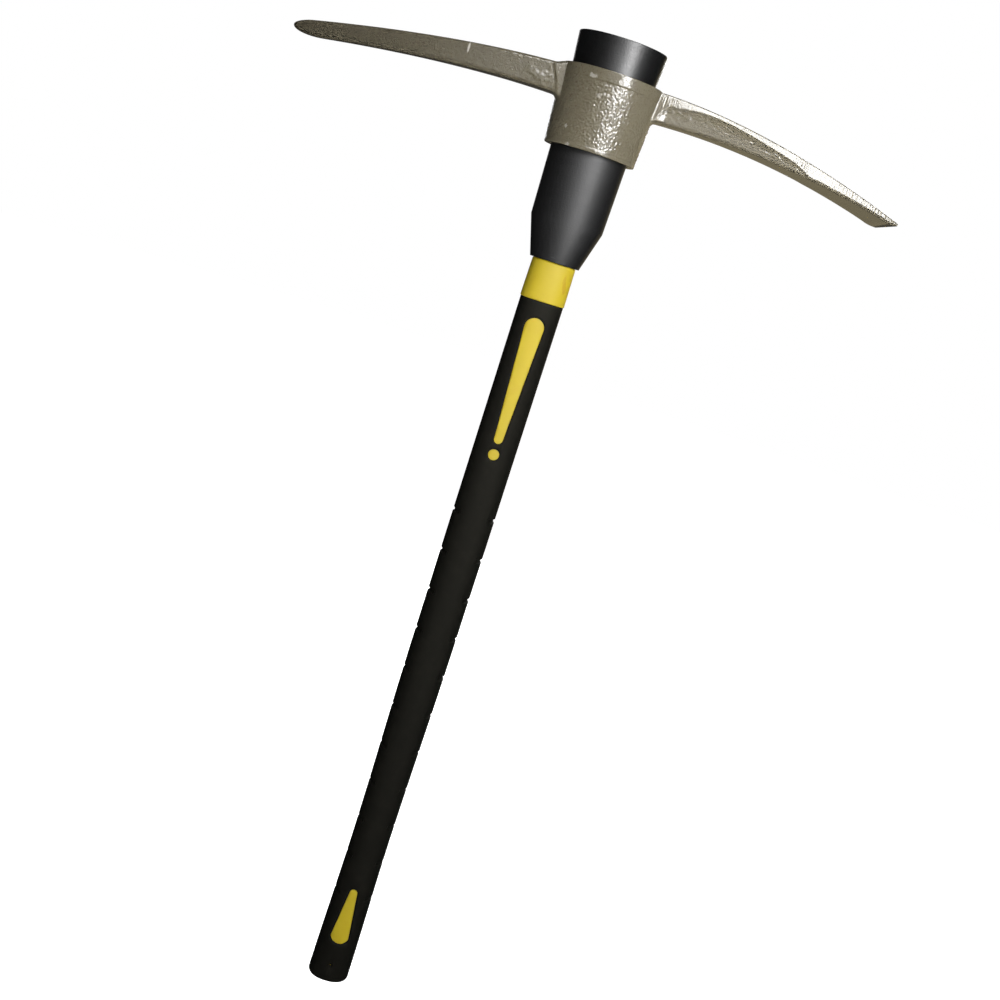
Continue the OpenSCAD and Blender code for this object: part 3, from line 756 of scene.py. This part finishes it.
def flange_height(head, out, deep):
    """Height of the flange's face: full at the eye, low along the panel and full again where that ends."""
    # Over these lengths the panel opens, the flange narrows and widens again, and the panel closes
    opening, narrowing, widening, closing = 9 * MM, 50 * MM, 80 * MM, 24 * MM
    left = head.scoop_length - out
    low = mix(head.flange_root, head.flange, ease(out / narrowing))
    low = mix(low, head.flange_end, clamp(1 - left / widening))
    start = mix(deep, low, ease(out / opening))
    end = clamp(1 - left / closing) ** PANEL_CLOSING
    return min(mix(start, deep, end), deep - head.under_edge)


def adze_side(head, out, half, deep, under, flange, scoop):
    """Half of the adze's section, in Y and down from its back: the back, the flange's leaning face, the
    scooped panel, the lower edge and the underside."""
    edge = min(0.8 * MM, deep / 6)
    # The flange's face stands steeper near the eye
    steep, steep_length = 0.35, 85 * MM
    draft = head.flange_draft * mix(steep, 1, ease(out / steep_length))
    lean = math.tan(draft) * min(flange, head.flange_root)
    flat_steps, face_steps = 9, 8
    side = [((half - lean - edge) * i / flat_steps, 0) for i in range(flat_steps)]
    side += [(half - lean - drawn, -drop) for drop, drawn in rounding(edge, steps=3)]
    for i in range(1, face_steps):
        down = i / face_steps
        side.append((half - lean * (1 - down), -mix(edge, flange, down)))
    # The scoop is at its deepest this far down the panel
    deepest = 0.6
    for i in range(PANEL_POINTS):
        down = i / (PANEL_POINTS - 1)
        side.append((half - scoop * rounded(down / deepest), -mix(flange, deep - under, down)))
    for rise, drawn in reversed(rounding(under, steps=5)[:-1]):
        side.append((half - scoop - drawn, rise - deep))
    side += [((half - scoop - under) * (1 - i / flat_steps), -deep) for i in range(1, flat_steps + 1)]
    return side


def panel_marks(head, x, y, z, up):
    """Relief of the adze's panel: thin ridges in clusters, a little steeper than the arm and mostly in the
    panel's upper half, and grain between them."""
    # Spacing of the ridges along and across the arm, their slope and their width
    ridge_run, ridge_gap, slope, ridge_width = 14 * MM, 4.5 * MM, 0.15, 0.17
    flow = abs(noise.noise(Vector((x / ridge_run, 0, (z + slope * x) / ridge_gap))))
    # Spacing of the clusters, in another plane of the noise, how many there are and how sharply they end
    cluster_run, cluster_gap, plane, share, contrast = 11 * MM, 8 * MM, 5, 0.8, 1.6
    cluster = ease(share + contrast * noise.noise(Vector((x / cluster_run, plane, z / cluster_gap))))
    # How far up the panel the ridges start, and over which share of it they grow
    low, rise = 0.2, 0.3
    ridge = ease(1 - flow / ridge_width) * cluster * ease((up - low) / rise)
    grain_share = 0.35
    grain = grain_share * head.hammer_depth * bumpy(Vector((x, y, z)), ARM_SPACING * head.hammer_size)
    return head.forging_depth * ridge + grain


def adze_profile(handle, head, x, out):
    """The adze's section: it thins and widens towards the ground edge, with a marked panel in each side."""
    reach, root = HEAD_HIGH.x, root_x(handle, head)
    along = clamp((x - root) / (reach - root))
    thinned = clamp((x - root) / (reach - head.bevel - root)) ** BLADE_TAPER
    bar = mix(head.arm_height, head.blade, thinned) + fillet(out, head.root_fillet)
    ground = math.sin(math.pi / 2 * clamp((reach - x) / head.bevel))
    deep = mix(head.cutting_edge, bar, ground)
    half = mix(head.arm_width, head.adze_width, along ** BLADE_FLARE) / 2 + fillet(out, head.side_fillet)
    under = min(head.under_edge, deep / 3)
    flange = min(flange_height(head, out, deep), deep - under)
    # Where the scoop starts, and the lengths over which it deepens and ends
    scoop_start, deepening, ending = 1.5 * MM, 7 * MM, 12 * MM
    scoop = head.scoop * ease((out - scoop_start) / deepening) * ease((head.scoop_length - out) / ending)
    top = adze_top(handle, head, x)
    # The marks fade at the panel's lower and upper edge, close to the middle line and at the eye
    low_fade, high_fade, middle, root_fade = 0.15, 0.08, 4 * MM, 6 * MM
    points = []
    for y, z in adze_side(head, out, half, deep, under, flange, scoop):
        # How far up the panel, 0 at its lower edge and 1 at the flange
        up = (z + deep - under) / max(MM, deep - under - flange)
        panel = scoop / head.scoop * clamp(up / low_fade) * clamp((1 - up) / high_fade)
        wave = panel * panel_marks(head, x, y, z, up)
        points.append((y + wave * clamp(y / middle) * clamp(out / root_fade), top + z))
    # The other side mirrors this one, without the two points on the middle line
    return points + [(-y, z) for y, z in reversed(points[1:-1])]


def facing(vertex, least, full):
    """1 where a point of the head looks to the front or the back, falling to 0 as it turns away."""
    return ease((abs(vertex.normal.y) - least) / (full - least))


def hatch_strength(out):
    """How strong the hatching on the flange is: most near the eye, and again towards the cutting edge."""
    strong, weak, fading = 1.0, 0.3, 100 * MM
    end_strength, end_start, end_length = 0.4, 145 * MM, 25 * MM
    return mix(strong, weak, clamp(out / fading)) + end_strength * ease((out - end_start) / end_length)


def mark_finish(piece, handle, head):
    """Stores how hammered and how hatched the lacquer is at each point of the head."""
    root = root_x(handle, head)
    rim_z = EYE_TOP - head.rim_height
    pick_fading = 90 * MM
    hammered = piece.data.attributes.new("hammered", "FLOAT", "POINT")
    hatched = piece.data.attributes.new("hatched", "FLOAT", "POINT")
    for vertex in piece.data.vertices:
        x, _, z = vertex.co
        out = abs(x) - root
        side = facing(vertex, least=0.82, full=0.96)
        if out < 0:
            wall = ease((z - EYE_BOTTOM - head.lip_height) / WALL_START) * (1 - ease((z - rim_z + MM) / MM))
            hammered.data[vertex.index].value = mix(RELIEF["rim"], RELIEF["wall"], wall)
        elif x < 0:
            worked = mix(RELIEF["pick_root"], RELIEF["pick"], clamp(out / pick_fading))
            hammered.data[vertex.index].value = mix(RELIEF["edges"], worked, side)
        else:
            below = adze_top(handle, head, x) - z
            panel = ease((below - flange_height(head, out, head.arm_height) + MM) / MM)
            worked = mix(RELIEF["flange"], RELIEF["panel"], panel)
            hammered.data[vertex.index].value = mix(RELIEF["edges"], worked, side)
            # Only the flat face of the flange is hatched
            flat = facing(vertex, least=0.93, full=0.97)
            hatched.data[vertex.index].value = flat * (1 - panel) * hatch_strength(out)


class MATTOCK_OT_head(bpy.types.Operator):
    """Forges the head: the eye with its rim, the pick and the adze"""
    bl_idname = "mattock.head"
    bl_label = "Head"

    def execute(self, context):
        head, handle = context.scene.mattock_head, context.scene.mattock_handle
        # Without a seed the noise gives other marks each run
        noise.seed_set(head.pattern)
        piece = eye_tube(handle, head)
        pick = arm(handle, head, "pick", -HEAD_LOW.x, head.nose_under, pick_profile, -1)
        combine(piece, pick, "UNION")
        adze = arm(handle, head, "adze", HEAD_HIGH.x, head.bevel, adze_profile, 1)
        combine(piece, adze, "UNION")
        mark_finish(piece, handle, head)
        material = lacquered_forging(context.scene.mattock_finishes)
        finish_piece(piece, "head", material, "mattock_head", crease=38)
        return {"FINISHED"}


# The sleeve and the rod

class MATTOCK_OT_sleeve(bpy.types.Operator):
    """Moulds the sleeve that the head is jammed on"""
    bl_idname = "mattock.sleeve"
    bl_label = "Sleeve"

    def execute(self, context):
        handle = context.scene.mattock_handle
        crown = Vector((SLEEVE_HIGH.x, SLEEVE_HIGH.y)) * 2
        low, collar_edge = SLEEVE_LOW.z, 0.6 * MM
        # Levels of the outside: height, size, and how far in a rounded edge draws it
        levels = [(low + away, Vector(handle.collar), drawn) for away, drawn in rounding(collar_edge)]
        levels += [(low + handle.shoulder_height, Vector(handle.shoulder), 0),
                   (EYE_BOTTOM, Vector(handle.seat_low), 0), (EYE_TOP, Vector(handle.seat_high), 0)]
        for away, drawn in reversed(rounding(handle.crown_edge, steps=6)):
            levels.append((SLEEVE_HIGH.z - away, crown, drawn))
        sections = []
        for z, size, drawn in levels:
            sections.append(oval_ring(size.x - 2 * drawn, size.y - 2 * drawn, z, HANDLE_POINTS))
        bore = CORE_HIGH.x * 2 + 2 * handle.bond
        inside = [oval_ring(bore, bore, z, HANDLE_POINTS) for z in (low, CORE_HIGH.z + handle.bond)]
        bm = bmesh.new()
        closed_loft(bm, inside[::-1] + sections)
        piece = object_from(bm, "sleeve_moulding")
        material = moulded_nylon(context.scene.mattock_finishes)
        finish_piece(piece, "handle", material, "eye_sleeve", crease=12)
        return {"FINISHED"}


class MATTOCK_OT_core(bpy.types.Operator):
    """Gives the rod inside the handle its finish"""
    bl_idname = "mattock.core"
    bl_label = "Rod"

    def execute(self, context):
        rod = frame["nodes"]["fibreglass_core"]
        rod.data.materials.clear()
        rod.data.materials.append(pultruded_glass(context.scene.mattock_finishes))
        return {"FINISHED"}


# The grip, the jacket and the inlays

def grip_width(handle, z):
    """Width of the grip from the butt over the waist and the belly to the top."""
    if z < handle.waist_height:
        return mix(handle.butt_width, handle.waist_width, ease(z / handle.waist_height))
    if z < handle.belly_height:
        share = (z - handle.waist_height) / (handle.belly_height - handle.waist_height)
        return mix(handle.waist_width, handle.belly_width, ease(share))
    share = (z - handle.belly_height) / (GRIP_HIGH.z - handle.belly_height)
    return mix(handle.belly_width, handle.neck_width, ease(share))


def grip_ring(handle, z, inset=0.0, width_at=None):
    """One oval of the grip, drawn in by an inset and as wide as the grip is at another height if given."""
    width = grip_width(handle, z if width_at is None else width_at) - 2 * inset
    return oval_ring(width, width - handle.flatness, z, HANDLE_POINTS, GRIP_ROUNDNESS)


def notched(handle, ring, press):
    """A grip ring pressed in at both sides, with a steep wall at the inner end."""
    half = max(p.x for p in ring)
    # The oval is flatter than a circle, so this turns the way in about square to its skin
    turned = 1.6
    points = []
    for p in ring:
        side = ease((abs(p.x) - half + handle.notch_reach) / handle.notch_wall)
        inward = Vector((p.x, p.y * turned, 0)).normalized()
        points.append(p - inward * handle.notch_depth * press * side)
    return points


def grip_skin(handle):
    """Sections of the grip's outside, from the butt to the top, with its notches."""
    skin_step, top_edge = 12 * MM, 0.8 * MM
    sections = []
    for rise, drawn in rounding(handle.butt_edge, steps=8):
        sections.append(grip_ring(handle, rise, drawn, width_at=0))
    # Each wall of a notch: how far from its edge, as a share of the wall, and how far pressed in there
    wall = [(0, 0), (0.2, 0.12), (0.5, 0.75), (0.75, 1)]
    z = handle.butt_edge
    for i in range(handle.notches):
        low = handle.notch_start + i * handle.notch_pitch - handle.notch_height / 2
        high = low + handle.notch_height
        for step in spread(z, low, skin_step)[1:-1]:
            sections.append(grip_ring(handle, step))
        levels = [(low + share * handle.notch_wall, press) for share, press in wall]
        levels += [(high - share * handle.notch_wall, press) for share, press in reversed(wall)]
        for z, press in levels:
            sections.append(notched(handle, grip_ring(handle, z), press))
    for step in spread(z, GRIP_HIGH.z - top_edge, skin_step)[1:-1]:
        sections.append(grip_ring(handle, step))
    for away, drawn in reversed(rounding(top_edge)):
        sections.append(grip_ring(handle, GRIP_HIGH.z - away, drawn))
    return sections


def surface_depth(handle, x, z):
    """Half the grip's depth at a place across and along it."""
    half = grip_width(handle, z) / 2
    share = max(0.0, 1 - (abs(x) / half) ** GRIP_ROUNDNESS)
    return (half - handle.flatness / 2) * share ** (1 / GRIP_ROUNDNESS)


def taper_outline(low_z, low_r, high_z, high_r, grow, count=72):
    """Two round ends joined by straight sides, in X and Z, widened all round by grow."""
    lean = math.asin((high_r - low_r) / (high_z - low_z))
    points = []
    for i in range(count):
        angle = 2 * math.pi * i / count
        high = math.sin(angle) >= -math.sin(lean)
        radius, z = (high_r, high_z) if high else (low_r, low_z)
        points.append(((radius + grow) * math.cos(angle), z + (radius + grow) * math.sin(angle)))
    return points


def long_outline(handle, grow):
    """The long inlay's outline, widened all round by grow."""
    low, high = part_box("long_inlay_front")
    low_r, high_r = handle.long_low / 2, high.x
    return taper_outline(low.z + low_r, low_r, high.z - high_r, high_r, grow)


def dot_outline(handle, grow, count=48):
    """The round inlay's outline, widened all round by grow."""
    low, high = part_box("dot_inlay_front")
    across = 2 * (high.x + grow)
    return [(x, z + (low.z + high.z) / 2) for x, z in oval(across, across, count)]


def butt_outline(handle, grow, steps=24):
    """The butt inlay's outline, widened by grow: a round upper end, straight sides and a lower end that is
    an arc between its corners."""
    low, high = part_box("butt_inlay_front")
    half, top_r = high.x, handle.foot_top / 2
    corner_z, top_z = low.z + handle.foot_side, high.z - top_r
    lean = math.asin((top_r - half) / (top_z - corner_z))
    bow_r = (half ** 2 + handle.foot_bow ** 2) / (2 * handle.foot_bow)
    bow_z = corner_z - handle.foot_bow + bow_r
    turn = math.asin(half / bow_r)
    points = []
    for i in range(steps + 1):
        angle = mix(-lean, math.pi + lean, i / steps)
        points.append(((top_r + grow) * math.cos(angle), top_z + (top_r + grow) * math.sin(angle)))
    for i in range(steps + 1):
        angle = mix(-turn, turn, i / steps)
        points.append(((bow_r + grow) * math.sin(angle), bow_z - (bow_r + grow) * math.cos(angle)))
    return points


def pin_outline(handle, grow, count=24):
    """The pin hole's outline. It has no groove round it, so that is taken off what it grows by."""
    across = handle.pin_hole + 2 * (grow - handle.groove)
    return [(x, z + handle.pin_height) for x, z in oval(across, across, count)]


def window_cutter(handle, outlines):
    """Solids that cut the windows of one side through the rubber: close round the inlay, then a groove
    that is flared at the rubber's face."""
    close = (handle.bond - handle.inlay_gap - handle.groove) / MM
    # Height over the rubber's face and how far the window is wider there than the groove, in millimetres
    flare = [(-3.6, close), (-1.3, close), (-1.2, 0), (-0.5, 0), (-0.25, 0.06), (-0.1, 0.18), (0, 0.4),
             (0.5, 1.1), (1.5, 1.1)]
    bm = bmesh.new()
    for outline in outlines:
        sections = []
        for lift, wider in flare:
            ring = outline(handle, handle.groove + wider * MM)
            sections.append([
                Vector((x, -surface_depth(handle, x, z) - lift * MM, z)) for x, z in ring])
        closed_loft(bm, sections)
    return bm


class MATTOCK_OT_grip(bpy.types.Operator):
    """Moulds the rubber grip with its notches and the windows for the inlays"""
    bl_idname = "mattock.grip"
    bl_label = "Grip"

    def execute(self, context):
        handle = context.scene.mattock_handle
        heights = spread(GRIP_HIGH.z, handle.rubber_end, HANDLE_STEP)
        inside = [grip_ring(handle, z, handle.rubber) for z in heights]
        bm = bmesh.new()
        closed_loft(bm, grip_skin(handle) + inside)
        piece = object_from(bm, "grip_moulding")
        windows = [long_outline, dot_outline, butt_outline]
        front = window_cutter(handle, windows + [pin_outline])
        combine(piece, object_from(front, "front_windows"), "DIFFERENCE")
        rear = window_cutter(handle, windows)
        bmesh.ops.scale(rear, vec=(1, -1, 1), verts=rear.verts[:])
        combine(piece, object_from(rear, "rear_windows"), "DIFFERENCE")
        material = moulded_rubber(context.scene.mattock_finishes)
        finish_piece(piece, "handle", material, "rubber_grip", crease=30)
        return {"FINISHED"}


def yellow_plastic(context):
    """The one yellow material that the jacket and the inlays share."""
    return bpy.data.materials.get("moulded_yellow") or moulded_yellow(context.scene.mattock_finishes)


class MATTOCK_OT_jacket(bpy.types.Operator):
    """Moulds the yellow jacket under the grip, with its bare ring"""
    bl_idname = "mattock.jacket"
    bl_label = "Jacket"

    def execute(self, context):
        handle = context.scene.mattock_handle
        inset = handle.rubber + handle.bond
        heights = spread(JACKET_LOW.z, GRIP_HIGH.z, HANDLE_STEP)
        sections = [grip_ring(handle, z, inset) for z in heights]
        edge = rounding(handle.ring_edge)
        levels = [(GRIP_HIGH.z + away, handle.ring_low, drawn) for away, drawn in edge]
        levels += [(JACKET_HIGH.z - away, handle.ring_high, drawn) for away, drawn in reversed(edge)]
        for z, width, drawn in levels:
            sections.append(oval_ring(
                width - 2 * drawn, width - handle.flatness - 2 * drawn, z, HANDLE_POINTS, GRIP_ROUNDNESS))
        bore = CORE_HIGH.x * 2 + 2 * handle.bond
        for z in (JACKET_HIGH.z, CORE_LOW.z - handle.bond):
            sections.append(oval_ring(bore, bore, z, HANDLE_POINTS))
        bm = bmesh.new()
        closed_loft(bm, sections)
        piece = object_from(bm, "jacket_moulding")
        finish_piece(piece, "handle", yellow_plastic(context), "handle_jacket")
        return {"FINISHED"}


def inlay(handle, outline, name, side):
    """One inlay: its outline inset for the bevel, draped over the grip and pulled in to the jacket."""
    # Distances between the cuts that let it bend, and how far its rim lies under the rubber's face
    across_step, along_step, sunk = 1.5 * MM, 6 * MM, 0.3 * MM
    ring = outline(handle, -handle.inlay_gap)
    bm = bmesh.new()
    bmesh.ops.create_circle(bm, cap_ends=True, segments=len(ring), radius=1)
    bm.verts.ensure_lookup_table()
    for vertex, (x, z) in zip(bm.verts, ring):
        vertex.co = (x, 0, z)
    bmesh.ops.inset_region(bm, faces=bm.faces[:], thickness=handle.inlay_edge, use_even_offset=True)
    low_x, high_x = min(x for x, z in ring), max(x for x, z in ring)
    low_z, high_z = min(z for x, z in ring), max(z for x, z in ring)
    cuts = [((x, 0, 0), (1, 0, 0)) for x in spread(low_x, high_x, across_step)[1:-1]]
    cuts += [((0, 0, z), (0, 0, 1)) for z in spread(low_z, high_z, along_step)[1:-1]]
    for place, across in cuts:
        geometry = bm.verts[:] + bm.edges[:] + bm.faces[:]
        bmesh.ops.bisect_plane(bm, geom=geometry, dist=0.01 * MM, plane_co=place, plane_no=across)
    for vertex in bm.verts:
        lift = -sunk if vertex.is_boundary else handle.proud
        vertex.co.y = -surface_depth(handle, vertex.co.x, vertex.co.z) - lift
    made = bmesh.ops.extrude_face_region(bm, geom=bm.faces[:])["geom"]
    under = [v for v in made if isinstance(v, bmesh.types.BMVert)]
    bmesh.ops.translate(bm, vec=(0, handle.rubber - sunk, 0), verts=under)
    if side > 0:
        bmesh.ops.scale(bm, vec=(1, -1, 1), verts=bm.verts[:])
    return object_from(bm, name)


class MATTOCK_OT_inlays(bpy.types.Operator):
    """Moulds the three yellow inlays on the front and on the back of the grip"""
    bl_idname = "mattock.inlays"
    bl_label = "Inlays"

    def execute(self, context):
        handle = context.scene.mattock_handle
        material = yellow_plastic(context)
        shapes = {"long_inlay": long_outline, "dot_inlay": dot_outline, "butt_inlay": butt_outline}
        for shape, outline in shapes.items():
            for place, side in (("front", -1), ("rear", 1)):
                piece = inlay(handle, outline, f"{shape}_{place}_moulding", side)
                finish_piece(piece, "handle", material, f"{shape}_{place}", crease=25)
        return {"FINISHED"}


# The stage

def softbox(name, azimuth, distance, z, size, watts, aim, beam=180, glossy=True, diffuse=True,
            tint=(1, 1, 1)):
    """A soft rectangular light round the tool, with a grid where its beam is narrower than 180 degrees.
    Azimuth 0 is in front of the tool, more is to the right, and aim is in X and Z. One that isn't glossy
    doesn't show in reflections, and one that isn't diffuse shows only there."""
    lamp = bpy.data.lights.new(name, "AREA")
    lamp.shape = "RECTANGLE"
    lamp.size, lamp.size_y = size
    lamp.energy = watts
    lamp.color = tint
    lamp.spread = math.radians(beam)
    light = bpy.data.objects.new(name, lamp)
    turn = math.radians(azimuth)
    light.location = (distance * math.sin(turn), -distance * math.cos(turn), z)
    way = Vector((aim[0], 0, aim[1])) - light.location
    light.rotation_euler = way.to_track_quat("-Z", "Y").to_euler()
    light.visible_camera = False
    light.visible_glossy = glossy
    light.visible_diffuse = diffuse
    bpy.context.scene.collection.objects.link(light)


def set_camera(scene):
    """The camera in front of the tool, turned round it, looking down and leaning."""
    studio = scene.mattock_studio
    camera = bpy.data.objects.new("camera", bpy.data.cameras.new("camera"))
    camera.data.sensor_width = 36
    camera.data.lens = studio.lens
    camera.data.clip_start = 0.01
    turn = Matrix.Rotation(-studio.turn, 4, "Z")
    aim = Matrix.Rotation(math.pi / 2 - studio.pitch, 4, "X") @ Matrix.Rotation(studio.roll, 4, "Z")
    camera.matrix_world = turn @ Matrix.Translation(studio.camera) @ aim
    scene.collection.objects.link(camera)
    scene.camera = camera
    scene.view_settings.view_transform = "Standard"


def set_lights(scene):
    """The soft lights: first what the finishes mirror, then what lights them softly."""
    warm = scene.mattock_finishes.bounce[:3]
    softbox("key_high", 21, 1.45, 1.1, (0.4, 0.42), 18, (0.05, 0.86), diffuse=False)
    softbox("key_low", 21, 1.45, 0.6, (0.45, 0.5), 4.5, (0.0, 0.6), diffuse=False)
    softbox("right_overhead", 7, 1.24, 1.5, (0.7, 0.46), 23, (0.17, 0.84), diffuse=False)
    softbox("rear_strip", 200, 1.6, 1.35, (0.3, 0.9), 1.8, (0.0, 0.85), diffuse=False)
    softbox("rear_card", 167, 1.64, 0.6, (0.6, 0.7), 0.4, (0.1, 0.8), diffuse=False, tint=warm)
    softbox("right_card", 140, 1.6, 0.8, (0.7, 1.2), 2.2, (0.0, 0.75), diffuse=False, tint=warm)
    softbox("rear_key", 155, 1.5, 1.3, (0.4, 0.4), 6, (0.0, 0.86), diffuse=False)
    softbox("front_card", -2, 1.45, 1.06, (0.5, 0.35), 0.9, (0.0, 0.86), diffuse=False)
    softbox("soft_head", 37, 1.2, 1.0, (0.4, 0.4), 1.2, (0.16, 0.84), beam=60, glossy=False)
    softbox("soft_grip", 14, 1.2, 0.35, (0.3, 0.3), 1.15, (0.0, 0.12), beam=60, glossy=False)
    softbox("soft_ring", -20, 0.7, 0.68, (0.2, 0.2), 0.08, (0.0, 0.67), beam=48, glossy=False)
    softbox("soft_low", 10, 1.1, 0.15, (0.4, 0.4), 0.78, (0.16, 0.84), beam=44, glossy=False)
    softbox("rear_fill", 180, 1.9, 1.1, (0.9, 1.4), 34, (0.0, 0.6), glossy=False)
    softbox("top_fill", 0, 0.0, 2.2, (0.6, 0.6), 6, (0.0, 0.9), glossy=False)


def lay_floor(scene):
    """The floor, just under the head when that is slid off the butt, so that it shows there."""
    clearance = 5 * MM
    travel = max(joint["range_m"][1] for joint in frame["joints"])
    low = EYE_BOTTOM - travel - clearance
    bm = bmesh.new()
    bmesh.ops.create_circle(
        bm, cap_ends=True, segments=64, radius=8, matrix=Matrix.Translation((0, 0, low)))
    floor = object_from(bm, "floor")
    floor.data.materials.append(white_floor(scene.mattock_finishes))
    floor.visible_diffuse = False
    floor.visible_glossy = False


def light_world(scene):
    """White behind the tool, a weak soft light on it and near dark in its reflections."""
    world = bpy.data.worlds.new("studio")
    world.use_nodes = True
    tree = world.node_tree
    tree.nodes.clear()
    rays = add(tree, "ShaderNodeLightPath", {})
    dim = add(tree, "ShaderNodeMath", {
        0: rays.outputs["Is Diffuse Ray"], 1: 0.02, 2: 0.02}, operation="MULTIPLY_ADD")
    strength = add(tree, "ShaderNodeMath", {
        0: rays.outputs["Is Camera Ray"], 1: dim.outputs[0]}, operation="MAXIMUM")
    sky = add(tree, "ShaderNodeBackground", {
        "Color": linear("#ffffff"), "Strength": strength.outputs[0]})
    add(tree, "ShaderNodeOutputWorld", {"Surface": sky.outputs["Background"]})
    scene.world = world


class MATTOCK_OT_stage(bpy.types.Operator):
    """Sets up the camera, the soft lights and the white floor"""
    bl_idname = "mattock.stage"
    bl_label = "Stage"

    def execute(self, context):
        set_camera(context.scene)
        set_lights(context.scene)
        lay_floor(context.scene)
        light_world(context.scene)
        return {"FINISHED"}


OPERATORS = [MATTOCK_OT_stage, MATTOCK_OT_head, MATTOCK_OT_sleeve, MATTOCK_OT_core,
             MATTOCK_OT_jacket, MATTOCK_OT_grip, MATTOCK_OT_inlays]


class MATTOCK_PT_pieces(bpy.types.Panel):
    """Lists the operators that build the mattock"""
    bl_idname = "MATTOCK_PT_pieces"
    bl_label = "Mattock"
    bl_space_type = "VIEW_3D"
    bl_region_type = "UI"
    bl_category = "Mattock"

    def draw(self, context):
        for operator in OPERATORS:
            self.layout.operator(operator.bl_idname)


GROUPS = {"mattock_head": HeadSizes, "mattock_handle": HandleSizes,
          "mattock_finishes": Finishes, "mattock_studio": Studio}


def register():
    """Registers the classes and hangs the sizes and colours on the scene."""
    for made in [*GROUPS.values(), *OPERATORS, MATTOCK_PT_pieces]:
        bpy.utils.register_class(made)
    for name, group in GROUPS.items():
        setattr(bpy.types.Scene, name, PointerProperty(type=group))


def unregister():
    """Takes back what register did."""
    for name in GROUPS:
        delattr(bpy.types.Scene, name)
    for made in [MATTOCK_PT_pieces, *reversed(OPERATORS), *reversed(GROUPS.values())]:
        bpy.utils.unregister_class(made)


def main():
    """Sets the stage and builds the pieces."""
    register()
    bpy.ops.mattock.stage()
    bpy.ops.mattock.head()
    bpy.ops.mattock.sleeve()
    bpy.ops.mattock.core()
    bpy.ops.mattock.jacket()
    bpy.ops.mattock.grip()
    bpy.ops.mattock.inlays()


if __name__ == "__main__":
    main()
